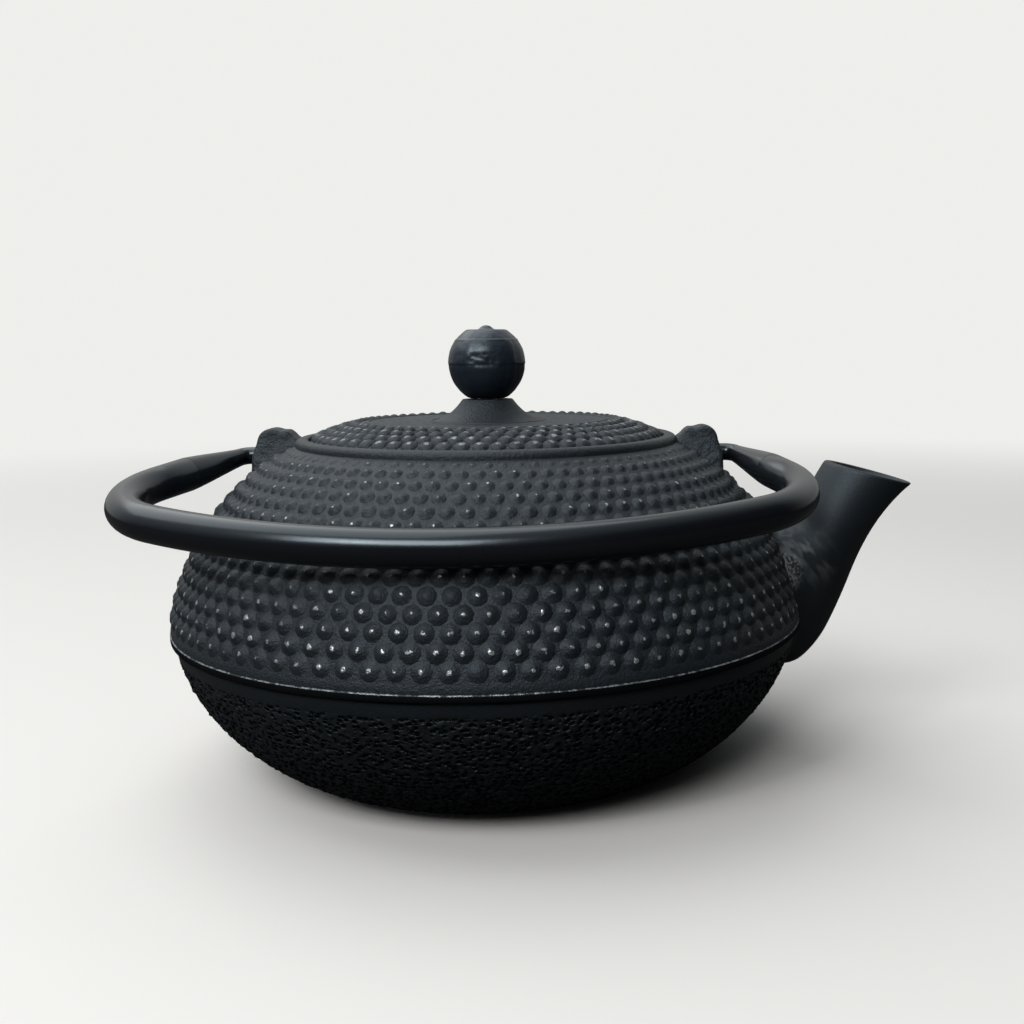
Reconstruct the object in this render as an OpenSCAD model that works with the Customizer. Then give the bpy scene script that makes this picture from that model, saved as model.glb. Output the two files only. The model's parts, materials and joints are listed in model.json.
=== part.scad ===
// Squat cast-iron teapot: a ridged body with a cast spout and two ears, a lift-off lid
// with a riveted knob, a hollow bail handle that folds either way, and a steel infuser.
// Millimetres, +Z up, origin at the centre of the foot, spout towards +X.

/* [Pot body] */
// Diameter over the ridge where the bowl meets the shoulder
ridge_d = 160; // [154:1:170]
// Height of the ridge's upper edge above the table
ridge_h = 38.4; // [35:0.2:42]
// Height of the ridge's upright band
ridge_band = 1.8; // [1:0.1:3]
// How far the ridge stands out from the bowl below it
ridge_step = 1; // [0.4:0.1:2]
// Diameter of the flat foot
foot_d = 86; // [76:1:96]
// Wall thickness of the casting
wall = 3.2; // [2.6:0.1:3.8]
// Angle at which the bowl leaves the foot, above the table
foot_angle = 7; // [2:1:12]
// Lean of the bowl's wall where it meets the ridge
bowl_lean = 8.4; // [4:0.2:14]
// Lean of the shoulder's wall where it leaves the ridge
shoulder_lean = 11; // [6:0.5:16]
// Slope of the shoulder where it meets the collar
shoulder_slope = 25; // [20:1:32]

/* [Collar and mouth] */
// Height of the collar's top above the table
collar_h = 83.9; // [81:0.1:88]
// How far the collar stands above the shoulder
collar_rise = 2; // [1:0.1:3]
// Width of the collar outside the lid's recess
collar_w = 3.2; // [2.8:0.1:4.2]
// Rounding of the collar's outer edge
collar_round = 1.4; // [0.6:0.1:1.8]
// Rounding of the collar's inner edge
recess_round = 0.5; // [0.2:0.1:0.8]

/* [Spout] */
// Outside length of the mouth from its inner to its outer lip
spout_mouth = 23; // [20:0.5:26]
// Tilt of the mouth below level, outwards
spout_tilt = 15; // [8:1:22]
// How far the outer lip reaches past the ridge
spout_reach = 29.3; // [26:0.5:34]
// How far the outer lip lies below the collar's top
spout_drop = 13.3; // [10:0.5:16]
// Outside width of the mouth
spout_mouth_w = 20.5; // [18:0.5:24]
// Outside width of the root
spout_root_w = 34; // [28:1:40]
// How far below the ridge the root's underside starts
spout_root_drop = 18.9; // [15:0.5:22]
// How far above the ridge the root's upper side starts
spout_root_rise = 15; // [10:0.5:20]
// Wall thickness of the spout
spout_wall = 2.6; // [2:0.1:3.2]

/* [Ears] */
// How far the ears reach out from the collar
ear_reach = 11.9; // [10.5:0.1:14]
// Thickness of each ear along the front-to-back line
ear_t = 9; // [8:0.5:12]
// How far the ears stand above the collar
ear_rise = 2.6; // [1.5:0.1:4]
// Radius of the ear's outer knuckle
ear_knuckle = 3.9; // [3.4:0.1:4.4]
// Radius of the ear's small inner knuckle
ear_heel = 1.6; // [1.2:0.1:2]
// How far the bail's hinge line lies below the collar's top
hinge_drop = 5; // [4:0.1:6]
// Depth of the socket in each ear
socket_depth = 5.3; // [4.5:0.1:6]

/* [Bail] */
// Outside diameter of the bail's tube
bail_d = 8.3; // [7:0.1:9.5]
// Wall thickness of the bail's tube
bail_wall = 1; // [0.8:0.1:1.4]
// How far the front of the folded bail's centre line stays inside the ridge
bail_front_inset = 5; // [3:0.5:7]
// How far the left side of the bail's centre line stays inside the ridge
bail_left_inset = 1.2; // [1:0.1:5]
// How far the right side of the bail's centre line stays inside the ridge
bail_right_inset = 5; // [1:0.1:6]
// Bend radius of the bail's front
bail_front_bend = 123; // [110:1:130]
// How far the centre of the front bend lies to the left of the middle
bail_front_shift = 3.8; // [0:0.1:5]
// Bend radius of the bail's corners
bail_corner_bend = 24; // [20:1:28]
// Length of the tapered end from its bend to the tube
bail_end_len = 13; // [11:0.5:15]
// Diameter of the pegs at the bail's ends
peg_d = 4.4; // [3.8:0.1:5]
// Length of the plug that holds each end in the tube
plug_len = 8; // [6:0.5:9]
// Height of the raised dots on the shoulder that the folded bail lies on
dot_h = 1.2; // [0.8:0.1:1.6]

/* [Lid] */
// Diameter of the lid
lid_d = 89.2; // [88:0.1:92]
// Thickness of the lid at its edge
lid_edge_t = 1.5; // [1.2:0.1:2]
// Thickness of the lid under its flat middle
lid_t = 3.2; // [2.6:0.1:3.6]
// How far the lid's edge lies below the collar's top
lid_sink = 0.4; // [0.2:0.1:1]
// Diameter of the flat middle
field_d = 62; // [54:1:68]
// Height of the flat middle above the lid's edge
field_rise = 4.1; // [3.6:0.1:5]
// Height of the fine raised line round the flat middle
field_line = 0.3; // [0.2:0.1:0.5]
// Width of the fine raised line
field_line_w = 1; // [0.6:0.1:1.4]
// Depth of the ring under the lid that keeps it in place
spigot_depth = 6; // [4:0.5:8]
// Thickness of that ring
spigot_t = 3; // [2.4:0.1:3.6]

/* [Knob] */
// Diameter of the knob's boss at its top
boss_d = 13.2; // [12:0.1:15]
// Height of the boss above the flat middle
boss_h = 5.4; // [4:0.1:7]
// Diameter at which the boss's flare starts
flare_d = 28; // [24:1:32]
// Diameter of the knob's ball
knob_d = 20.2; // [18:0.1:22]
// Diameter of the knob's foot
knob_foot_d = 9.4; // [8.6:0.1:11]
// Height of the knob's flat crown above its foot
knob_h = 17.6; // [17:0.1:18.4]
// Diameter of the flat crown
crown_d = 10.2; // [9:0.1:11]
// Diameter of the step round the crown
calyx_d = 16; // [14:0.1:17]
// Diameter of the small tip on the crown
tip_d = 3.4; // [2.4:0.1:4.5]
// Height of the small tip
tip_h = 1; // [0.6:0.1:1.4]
// Diameter of the rivet's shank
rivet_d = 5; // [4:0.1:6]
// How deep the rivet goes into the knob
rivet_grip = 9; // [7:0.5:11]
// Diameter of the rivet's spread head
rivet_head_d = 8.8; // [8:0.1:10]
// Height of the rivet's spread head
rivet_head_h = 1.8; // [1.2:0.1:2.4]
// Diameter of the washer under the lid
washer_d = 13; // [11:0.5:15]
// Thickness of the washer
washer_t = 1; // [0.8:0.1:1.4]

/* [Infuser] */
// Outside diameter of the infuser's collar
infuser_d = 77.6; // [75:0.2:79]
// Depth of the infuser below the ledge that it hangs on
infuser_depth = 47; // [38:0.5:54]
// Thickness of the pressed steel rim
flange_t = 0.8; // [0.6:0.1:1]
// Length of the rim's skirt
skirt_len = 7; // [5:0.5:10]
// Thickness of the rim's skirt and of the bottom band
sheet_t = 0.6; // [0.5:0.1:0.8]
// Thickness of the woven mesh
mesh_t = 0.4; // [0.3:0.1:0.6]
// Height of the bottom band
band_h = 5; // [4:0.5:7]
// Width of the band's lip under the floor
band_lip = 4; // [3:0.5:6]

/* [Clearances] */
// Gap between pieces that rest on each other
seat_gap = 0.1; // [0.05:0.05:0.2]
// Gap round the lid in its recess
lid_gap = 0.6; // [0.4:0.1:1]
// Gap round the infuser's rim in the recess
flange_gap = 0.8; // [0.5:0.1:1.2]
// Gap round the infuser in the mouth
mouth_gap = 1; // [0.6:0.1:1.5]
// Gap between the lid's ring and the infuser
spigot_gap = 1.4; // [0.8:0.1:2]
// Radial running clearance of the pegs and of the rivet
running_gap = 0.05; // [0.03:0.01:0.08]
// Radial gap between pieces that are joined for good
joined_gap = 0.03; // [0.02:0.01:0.05]
// Gap between each ear and the bend of the bail's end
elbow_gap = 0.4; // [0.3:0.1:0.8]

/* [Hidden] */
$fn = 96;

iron = [0.10, 0.10, 0.11];
bail_black = [0.06, 0.06, 0.07];
knob_black = [0.07, 0.08, 0.10];
steel = [0.72, 0.72, 0.72];

// Number of straight steps along each curved outline
outline_steps = 12;
// Shares of the run and rise that the outline's curve handles reach
foot_pull = 0.39;
bowl_pull = 0.54;
shoulder_pull = 0.32;
collar_pull = 0.73;
// Small length by which cutting shapes run past what they cut
cut = 1;

// Body
ridge_r = ridge_d / 2;
foot_r = foot_d / 2;
lid_r = lid_d / 2;
recess_r = lid_r + lid_gap;
collar_r = recess_r + collar_w;
mouth_r = infuser_d / 2 + mouth_gap;

// Stack of the lid, the infuser's rim and the ledge, from the top down
lid_edge_z = collar_h - lid_sink;
lid_seat_z = lid_edge_z - lid_edge_t;
flange_z = lid_seat_z - seat_gap;
ledge_z = flange_z - flange_t - seat_gap;
ledge_under_z = ledge_z - wall;

// Lid and knob
field_r = field_d / 2;
field_z = lid_edge_z + field_rise;
lid_under_z = field_z - lid_t;
boss_z = field_z + boss_h;
spigot_r = infuser_d / 2 - sheet_t - spigot_gap;
spigot_z = lid_seat_z - spigot_depth;
knob_z = boss_z + seat_gap;
knob_r = knob_d / 2;
knob_centre_z = knob_z + sqrt(pow(knob_r, 2) - pow(knob_foot_d / 2, 2));
washer_z = lid_under_z - seat_gap - washer_t;

// Ears and hinge
hinge_z = collar_h - hinge_drop;
ear_r = collar_r + ear_reach;
ear_root_z = hinge_z - 3 * wall;
knuckle_inset = 1.2;
knuckle_x = ear_r - knuckle_inset - ear_knuckle;
knuckle_z = collar_h + ear_rise - ear_knuckle;
heel_x = collar_r + 2 * ear_heel;
heel_z = collar_h + ear_heel / 3;

// Bail, in its own plane: x to the side, s from the hinge line to the front
bail_r = bail_d / 2;
bail_bore_r = bail_r - bail_wall;
bail_reach = ridge_r - bail_front_inset;
bail_left = ridge_r - bail_left_inset;
bail_right = ridge_r - bail_right_inset;
elbow_x = ear_r + elbow_gap + peg_d / 2;
front_s = bail_reach - bail_front_bend;

// Infuser
infuser_r = infuser_d / 2;
sleeve_r = infuser_r - sheet_t - joined_gap;
basket_z = ledge_z - infuser_depth;
floor_z = basket_z + sheet_t + joined_gap;
flange_r = recess_r - flange_gap;

// Points of a cubic curve with end points a and d and handles b and c
function curve(a, b, c, d, steps) =
    [for (i = [0:steps]) curve_point(a, b, c, d, i / steps)];
function curve_point(a, b, c, d, t) =
    pow(1 - t, 3) * a + 3 * pow(1 - t, 2) * t * b + 3 * (1 - t) * pow(t, 2) * c + pow(t, 3) * d;
// Unit direction at an angle
function heading(angle) = [cos(angle), sin(angle)];
// Outline moved sideways to its left by a distance
function inset(points, distance) =
    [for (i = [0:len(points) - 1])
        let (before = points[max(i - 1, 0)], after = points[min(i + 1, len(points) - 1)],
             along = (after - before) / norm(after - before))
        points[i] + distance * [-along[1], along[0]]];
// Points of a round corner or ball outline
function arc(centre, radius, from, to, steps) =
    [for (i = [0:steps]) centre + radius * heading(from + (to - from) * i / steps)];

// Outer outline of the bowl, from the foot to the ridge's underside
bowl_top = [ridge_r - ridge_step, ridge_h - ridge_band];
bowl_foot = [foot_r, 0];
bowl = curve(bowl_foot,
             bowl_foot + foot_pull * (bowl_top[0] - foot_r) * heading(foot_angle),
             bowl_top - bowl_pull * bowl_top[1] * heading(90 - bowl_lean),
             bowl_top, outline_steps);
// Outer outline of the shoulder, from the ridge to the collar
shoulder_top = [collar_r, collar_h - collar_rise];
shoulder_foot = [ridge_r, ridge_h];
function shoulder(steps) =
    curve(shoulder_foot,
          shoulder_foot + shoulder_pull * (shoulder_top[1] - ridge_h) * heading(90 + shoulder_lean),
          shoulder_top + collar_pull * (ridge_r - collar_r) * heading(-shoulder_slope),
          shoulder_top, steps);

// Tilt at which the folded bail's front comes to lie on the dotted shoulder
rest_steps = 60;
tilt_step = 0.1;
shoulder_fine = shoulder(rest_steps);
function bail_front(tilt) = [bail_reach * cos(tilt), hinge_z - bail_reach * sin(tilt)];
function rest_gap(tilt) = min([for (p = shoulder_fine) norm(p - bail_front(tilt))]) - bail_r - dot_h;
function rest_tilt(tilt) = rest_gap(tilt + tilt_step) < 0 ? tilt : rest_tilt(tilt + tilt_step);
bail_tilt = rest_tilt(0);

module body_outline() {
    collar_corner = [collar_r - collar_round, collar_h - collar_round];
    polygon(concat([[0, 0]], bowl,
                   [[ridge_r, ridge_h - ridge_band]], shoulder(outline_steps),
                   arc(collar_corner, collar_round, 0, 90, 6),
                   [[0, collar_h]]));
}

module cavity_outline() {
    bowl_inside = [for (p = inset(bowl, wall)) if (p[1] > wall) p];
    shoulder_inside = [for (p = inset(shoulder(outline_steps), wall)) if (p[1] < ledge_under_z) p];
    polygon(concat([[0, wall]], bowl_inside, shoulder_inside,
                   [[mouth_r, ledge_under_z], [mouth_r, ledge_z], [recess_r, ledge_z],
                    [recess_r, collar_h - recess_round], [recess_r + recess_round, collar_h],
                    [recess_r + recess_round, collar_h + cut], [0, collar_h + cut]]));
}

module ear() {
    rotate([90, 0, 0])
        linear_extrude(height = ear_t, center = true) {
            translate([knuckle_x, knuckle_z])
                circle(r = ear_knuckle, $fn = 48);
            translate([heel_x, heel_z])
                circle(r = ear_heel, $fn = 32);
            polygon([[collar_r - collar_w / 2, ear_root_z], [ear_r, ear_root_z], [ear_r, hinge_z],
                     [knuckle_x + ear_knuckle, knuckle_z], [knuckle_x, knuckle_z + ear_knuckle / 2],
                     [heel_x, heel_z + ear_heel / 2], [collar_r - collar_w / 2, collar_h - recess_round]]);
        }
}

module ear_socket() {
    translate([ear_r - socket_depth, 0, hinge_z])
        rotate([0, 90, 0])
            cylinder(r = peg_d / 2 + running_gap, h = socket_depth + cut, $fn = 48);
}

// Solid skinned over rings of points, each ring with the same number of points
module loft(rings) {
    sides = len(rings[0]);
    last = len(rings) - 1;
    walls = [for (i = [0:last - 1], k = [0:sides - 1])
        [i * sides + k, i * sides + (k + 1) % sides,
         (i + 1) * sides + (k + 1) % sides, (i + 1) * sides + k]];
    first_cap = [for (k = [sides - 1:-1:0]) k];
    last_cap = [for (k = [0:sides - 1]) last * sides + k];
    polyhedron(points = [for (ring = rings) each ring],
               faces = concat(walls, [first_cap], [last_cap]), convexity = 6);
}

// Spout: two curves give its underside and its upper side, an oval joins them at each step
spout_steps = 14;
spout_sides = 28;
spout_low_lip = [ridge_r + spout_reach, collar_h - spout_drop];
spout_high_lip = spout_low_lip + spout_mouth * heading(180 - spout_tilt);
spout_low_root = [ridge_r - 2.2 * wall, ridge_h - spout_root_drop];
spout_high_root = [ridge_r - 3 * wall, ridge_h + spout_root_rise];
spout_run = norm(spout_low_lip - spout_low_root);
function spout_low(t) =
    curve_point(spout_low_root, spout_low_root + 0.43 * spout_run * heading(25.6),
                spout_low_lip - 0.47 * spout_run * heading(40.7), spout_low_lip, t);
function spout_high(t) =
    curve_point(spout_high_root, spout_high_root + 0.14 * spout_run * heading(25),
                spout_high_lip - 0.2 * spout_run * heading(58), spout_high_lip, t);
function spout_half(t) = (spout_root_w + (spout_mouth_w - spout_root_w) * sin(90 * pow(t, 0.8))) / 2;
function spout_ring(t, thinner, shift) =
    let (low = spout_low(t), high = spout_high(t), middle = (low + high) / 2 + shift,
         across = (high - low) / norm(high - low), half = norm(high - low) / 2 - thinner)
    [for (k = [0:spout_sides - 1])
        let (angle = 360 * k / spout_sides, p = middle + half * cos(angle) * across)
        [p[0], (spout_half(t) - thinner) * sin(angle), p[1]]];

module spout_outside() {
    loft([for (i = [0:spout_steps]) spout_ring(i / spout_steps, 0, [0, 0])]);
}

module spout_bore() {
    past_lip = 2 * cut * heading(90 - spout_tilt);
    past_root = [-3 * wall, 0];
    loft(concat([spout_ring(0, spout_wall, past_root)],
                [for (i = [1:spout_steps]) spout_ring(i / spout_steps, spout_wall, [0, 0])],
                [spout_ring(1, spout_wall, past_lip)]));
}

module both_sides() {
    children();
    mirror([1, 0, 0]) children();
}

module pot_body() {
    color(iron)
        difference() {
            union() {
                rotate_extrude() body_outline();
                both_sides() ear();
                spout_outside();
            }
            rotate_extrude() cavity_outline();
            spout_bore();
            both_sides() ear_socket();
        }
}

module lid() {
    hole_r = rivet_d / 2 + running_gap;
    boss_r = boss_d / 2;
    band_run = lid_r - field_r;
    hobnail_band = curve([lid_r, lid_edge_z], [lid_r - 0.27 * band_run, lid_edge_z + 0.46 * field_rise],
                         [lid_r - 0.64 * band_run, lid_edge_z + 0.85 * field_rise],
                         [field_r, field_z], 6);
    flare_run = (flare_d - boss_d) / 2;
    flare = curve([flare_d / 2, field_z], [flare_d / 2 - 0.47 * flare_run, field_z + 0.11 * boss_h],
                  [boss_r + 0.22 * flare_run, field_z + 0.54 * boss_h], [boss_r, boss_z], 8);
    color(iron)
        rotate_extrude()
            polygon(concat([[lid_r, lid_seat_z]], hobnail_band,
                           [[field_r, field_z + field_line],
                            [field_r - field_line_w, field_z + field_line],
                            [field_r - field_line_w, field_z]],
                           flare,
                           [[hole_r, boss_z], [hole_r, lid_under_z],
                            [spigot_r - spigot_t, lid_under_z], [spigot_r - spigot_t, spigot_z],
                            [spigot_r, spigot_z], [spigot_r, lid_seat_z]]));
}

module lid_knob() {
    centre = [0, knob_centre_z];
    foot_angle = -acos(knob_foot_d / knob_d);
    calyx_angle = acos(calyx_d / knob_d);
    color(knob_black)
        difference() {
            rotate_extrude()
                polygon(concat([[0, knob_z]],
                               arc(centre, knob_r, foot_angle, calyx_angle, 16),
                               [[crown_d / 2, knob_z + knob_h], [tip_d / 2, knob_z + knob_h],
                                [tip_d / 4, knob_z + knob_h + tip_h], [0, knob_z + knob_h + tip_h]]));
            translate([0, 0, knob_z - cut])
                cylinder(r = rivet_d / 2 + joined_gap, h = rivet_grip + joined_gap + cut, $fn = 48);
        }
}

module knob_rivet() {
    head_z = washer_z - joined_gap;
    color(steel) {
        translate([0, 0, head_z - rivet_head_h / 2])
            cylinder(d = rivet_d, h = knob_z + rivet_grip - head_z + rivet_head_h / 2, $fn = 48);
        rotate_extrude($fn = 48)
            polygon([[0, head_z - rivet_head_h], [rivet_head_d / 4, head_z - rivet_head_h],
                     [rivet_head_d / 2, head_z - rivet_head_h / 3], [rivet_head_d / 2, head_z], [0, head_z]]);
    }
}

module knob_washer() {
    color(steel)
        translate([0, 0, washer_z])
            difference() {
                cylinder(d = washer_d, h = washer_t, $fn = 64);
                translate([0, 0, -cut])
                    cylinder(r = rivet_d / 2 + running_gap, h = washer_t + 2 * cut, $fn = 48);
            }
}

// Puts the bail's plane at its folded rest tilt on the hinge line; s runs along -Y there
module at_rest() {
    translate([0, 0, hinge_z])
        rotate([bail_tilt, 0, 0])
            children();
}

// Frame of the right arm: origin at the elbow, +Z along the arm
module along_arm(angle) {
    translate([elbow_x, 0, 0])
        rotate([0, 0, -angle])
            rotate([0, 90, 0])
                children();
}

// Centre line of one half of the bail as [x, s, turn], from the front to the end of the tube,
// where half is that side's distance from the middle and shift the place of the front bend's centre
front_steps = 7;
corner_steps = 12;
function bend(centre, radius, from, to, steps) =
    [for (i = [0:steps])
        let (turn = from + (to - from) * i / steps)
        [centre[0] + radius * sin(turn), centre[1] + radius * cos(turn), turn]];
function corner_centre(half, shift) =
    let (x = half - bail_corner_bend)
    [x, front_s + sqrt(pow(bail_front_bend - bail_corner_bend, 2) - pow(x - shift, 2))];
function arm_angle(corner) =
    let (way = corner - [elbow_x, 0])
    atan2(way[1], way[0]) - asin(bail_corner_bend / norm(way));
function half_line(half, shift) =
    let (corner = corner_centre(half, shift),
         start = atan2(corner[0] - shift, corner[1] - front_s),
         arm = arm_angle(corner),
         end = [elbow_x, 0] + bail_end_len * heading(arm),
         corner_bend = bend(corner, bail_corner_bend, start, 180 - arm, corner_steps))
    concat(bend([shift, front_s], bail_front_bend, 0, start, front_steps),
           [for (i = [1:corner_steps]) corner_bend[i]],
           [[end[0], end[1], 180 - arm]]);
right_half = half_line(bail_right, -bail_front_shift);
left_half = half_line(bail_left, bail_front_shift);
right_arm = arm_angle(corner_centre(bail_right, -bail_front_shift));
left_arm = arm_angle(corner_centre(bail_left, bail_front_shift));
bail_line = concat([for (i = [len(left_half) - 1:-1:1])
                       [-left_half[i][0], left_half[i][1], -left_half[i][2]]],
                   right_half);
tube_sides = 16;
function tube_ring(p, radius) =
    [for (k = [0:tube_sides - 1])
        let (angle = 360 * k / tube_sides, out = radius * cos(angle))
        [p[0] + out * sin(p[2]), -(p[1] + out * cos(p[2])), radius * sin(angle)]];

// Open-ended tube between an outer and an inner skin of rings
module hollow_loft(outer, inner) {
    sides = len(outer[0]);
    last = len(outer) - 1;
    inner_start = len(outer) * sides;
    function quad(i, k, start) =
        [start + i * sides + k, start + i * sides + (k + 1) % sides,
         start + (i + 1) * sides + (k + 1) % sides, start + (i + 1) * sides + k];
    function reversed(face) = [for (i = [len(face) - 1:-1:0]) face[i]];
    function rim(i, k) =
        [i * sides + (k + 1) % sides, i * sides + k,
         inner_start + i * sides + k, inner_start + i * sides + (k + 1) % sides];
    outside = [for (i = [0:last - 1], k = [0:sides - 1]) quad(i, k, 0)];
    inside = [for (i = [0:last - 1], k = [0:sides - 1]) reversed(quad(i, k, inner_start))];
    rims = [for (k = [0:sides - 1]) each [rim(0, k), reversed(rim(last, k))]];
    polyhedron(points = [for (ring = concat(outer, inner)) each ring],
               faces = concat(outside, inside, rims), convexity = 8);
}

module bail_tube() {
    bore_ring_r = bail_bore_r / cos(180 / tube_sides);
    color(bail_black)
        at_rest()
            hollow_loft([for (p = bail_line) tube_ring(p, bail_r)],
                        [for (p = bail_line) tube_ring(p, bore_ring_r)]);
}

// Right-hand end of the bail, whose tapered part runs at an angle to the hinge line
module bail_end(angle) {
    plug_r = bail_bore_r - joined_gap;
    neck_r = peg_d / 2;
    peg_len = elbow_x - ear_r + socket_depth - seat_gap;
    along_arm(angle) {
        cylinder(r1 = neck_r, r2 = bail_r, h = bail_end_len, $fn = 40);
        translate([0, 0, bail_end_len - joined_gap])
            cylinder(r = plug_r, h = plug_len, $fn = 40);
    }
    translate([elbow_x, 0, 0])
        sphere(r = neck_r + running_gap, $fn = 40);
    translate([elbow_x - peg_len, 0, 0])
        rotate([0, 90, 0])
            cylinder(r = neck_r, h = peg_len, $fn = 40);
}

module bail_end_right() {
    color(bail_black)
        at_rest() bail_end(right_arm);
}

module bail_end_left() {
    color(bail_black)
        at_rest() mirror([1, 0, 0]) bail_end(left_arm);
}

module infuser_rim() {
    skirt_in = infuser_r - sheet_t;
    flange_under_z = flange_z - flange_t;
    color(steel)
        rotate_extrude()
            polygon([[skirt_in, flange_z], [skirt_in, flange_under_z - skirt_len],
                     [infuser_r, flange_under_z - skirt_len], [infuser_r, flange_under_z],
                     [flange_r, flange_under_z], [flange_r, flange_z]]);
}

module infuser_sleeve() {
    sleeve_z = floor_z + mesh_t + joined_gap;
    sleeve_h = flange_z - flange_t / 2 - sleeve_z;
    color(steel)
        translate([0, 0, sleeve_z])
            difference() {
                cylinder(r = sleeve_r, h = sleeve_h);
                translate([0, 0, -cut])
                    cylinder(r = sleeve_r - mesh_t, h = sleeve_h + 2 * cut);
            }
}

module infuser_floor() {
    color(steel)
        translate([0, 0, floor_z])
            cylinder(r = sleeve_r, h = mesh_t);
}

module infuser_band() {
    band_in = infuser_r - sheet_t;
    color(steel)
        rotate_extrude()
            polygon([[band_in - band_lip, basket_z], [infuser_r, basket_z], [infuser_r, basket_z + band_h],
                     [band_in, basket_z + band_h], [band_in, basket_z + sheet_t],
                     [band_in - band_lip, basket_z + sheet_t]]);
}

pot_body();
lid();
lid_knob();
knob_rivet();
knob_washer();
bail_tube();
bail_end_left();
bail_end_right();
infuser_rim();
infuser_sleeve();
infuser_floor();
infuser_band();
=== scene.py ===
"""Looks of the cast-iron teapot: hobnailed pot and lid, knob, bail handle and steel infuser."""

import contextlib
import json
import math
import random

import bpy
from bpy.props import FloatProperty, FloatVectorProperty, IntProperty, PointerProperty
from mathutils import Matrix, Vector


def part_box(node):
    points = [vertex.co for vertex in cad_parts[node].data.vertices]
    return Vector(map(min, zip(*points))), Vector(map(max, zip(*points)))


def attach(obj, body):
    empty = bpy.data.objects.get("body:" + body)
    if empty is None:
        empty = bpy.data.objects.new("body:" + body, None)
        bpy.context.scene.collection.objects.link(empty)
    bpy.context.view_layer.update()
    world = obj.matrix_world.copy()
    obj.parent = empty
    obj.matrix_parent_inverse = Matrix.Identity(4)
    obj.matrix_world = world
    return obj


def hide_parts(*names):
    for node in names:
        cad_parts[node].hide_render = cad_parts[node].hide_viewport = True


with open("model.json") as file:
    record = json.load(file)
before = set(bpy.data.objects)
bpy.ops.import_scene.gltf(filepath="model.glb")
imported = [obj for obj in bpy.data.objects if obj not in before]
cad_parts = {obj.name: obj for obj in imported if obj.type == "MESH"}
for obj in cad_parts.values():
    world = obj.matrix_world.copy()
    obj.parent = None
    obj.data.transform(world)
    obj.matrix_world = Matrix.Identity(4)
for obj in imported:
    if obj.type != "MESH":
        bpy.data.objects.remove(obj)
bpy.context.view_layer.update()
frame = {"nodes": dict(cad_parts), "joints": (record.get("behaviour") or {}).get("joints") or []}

bl_info = {
    "name": "Cast-iron teapot",
    "version": (1, 0, 0),
    "blender": (4, 5, 0),
    "location": "View3D > Sidebar > Teapot",
    "description": "Models and finishes the pieces of a hobnailed cast-iron teapot",
    "category": "Object",
}

MM = 0.001
WELD = 0.002 * MM

POT_LOW, POT_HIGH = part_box("pot_body")
LID_LOW, LID_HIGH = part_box("lid")
KNOB_LOW, KNOB_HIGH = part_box("lid_knob")
RIM_LOW, RIM_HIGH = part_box("infuser_rim")
SLEEVE_LOW, SLEEVE_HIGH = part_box("infuser_sleeve")
BAND_LOW, BAND_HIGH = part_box("infuser_band")
SWING = next(joint for joint in frame["joints"] if joint["name"] == "bail_swing")
HINGE_Z = SWING["pos_m"][2]
BAIL_TILT = (SWING["range_deg"][1] - 180) / 2


# Sizes and colours that can be changed

def length(name, description, default):
    """A length in metres."""
    return FloatProperty(name=name, description=description, default=default, min=0.0,
                         precision=5, subtype="DISTANCE", unit="LENGTH")


def count(name, description, default):
    """A number of like things."""
    return IntProperty(name=name, description=description, default=default, min=1, max=300)


def colour(name, description, default):
    """A linear colour."""
    return FloatVectorProperty(name=name, description=description, default=default, size=3,
                               min=0.0, max=1.0, subtype="COLOR")


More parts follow.
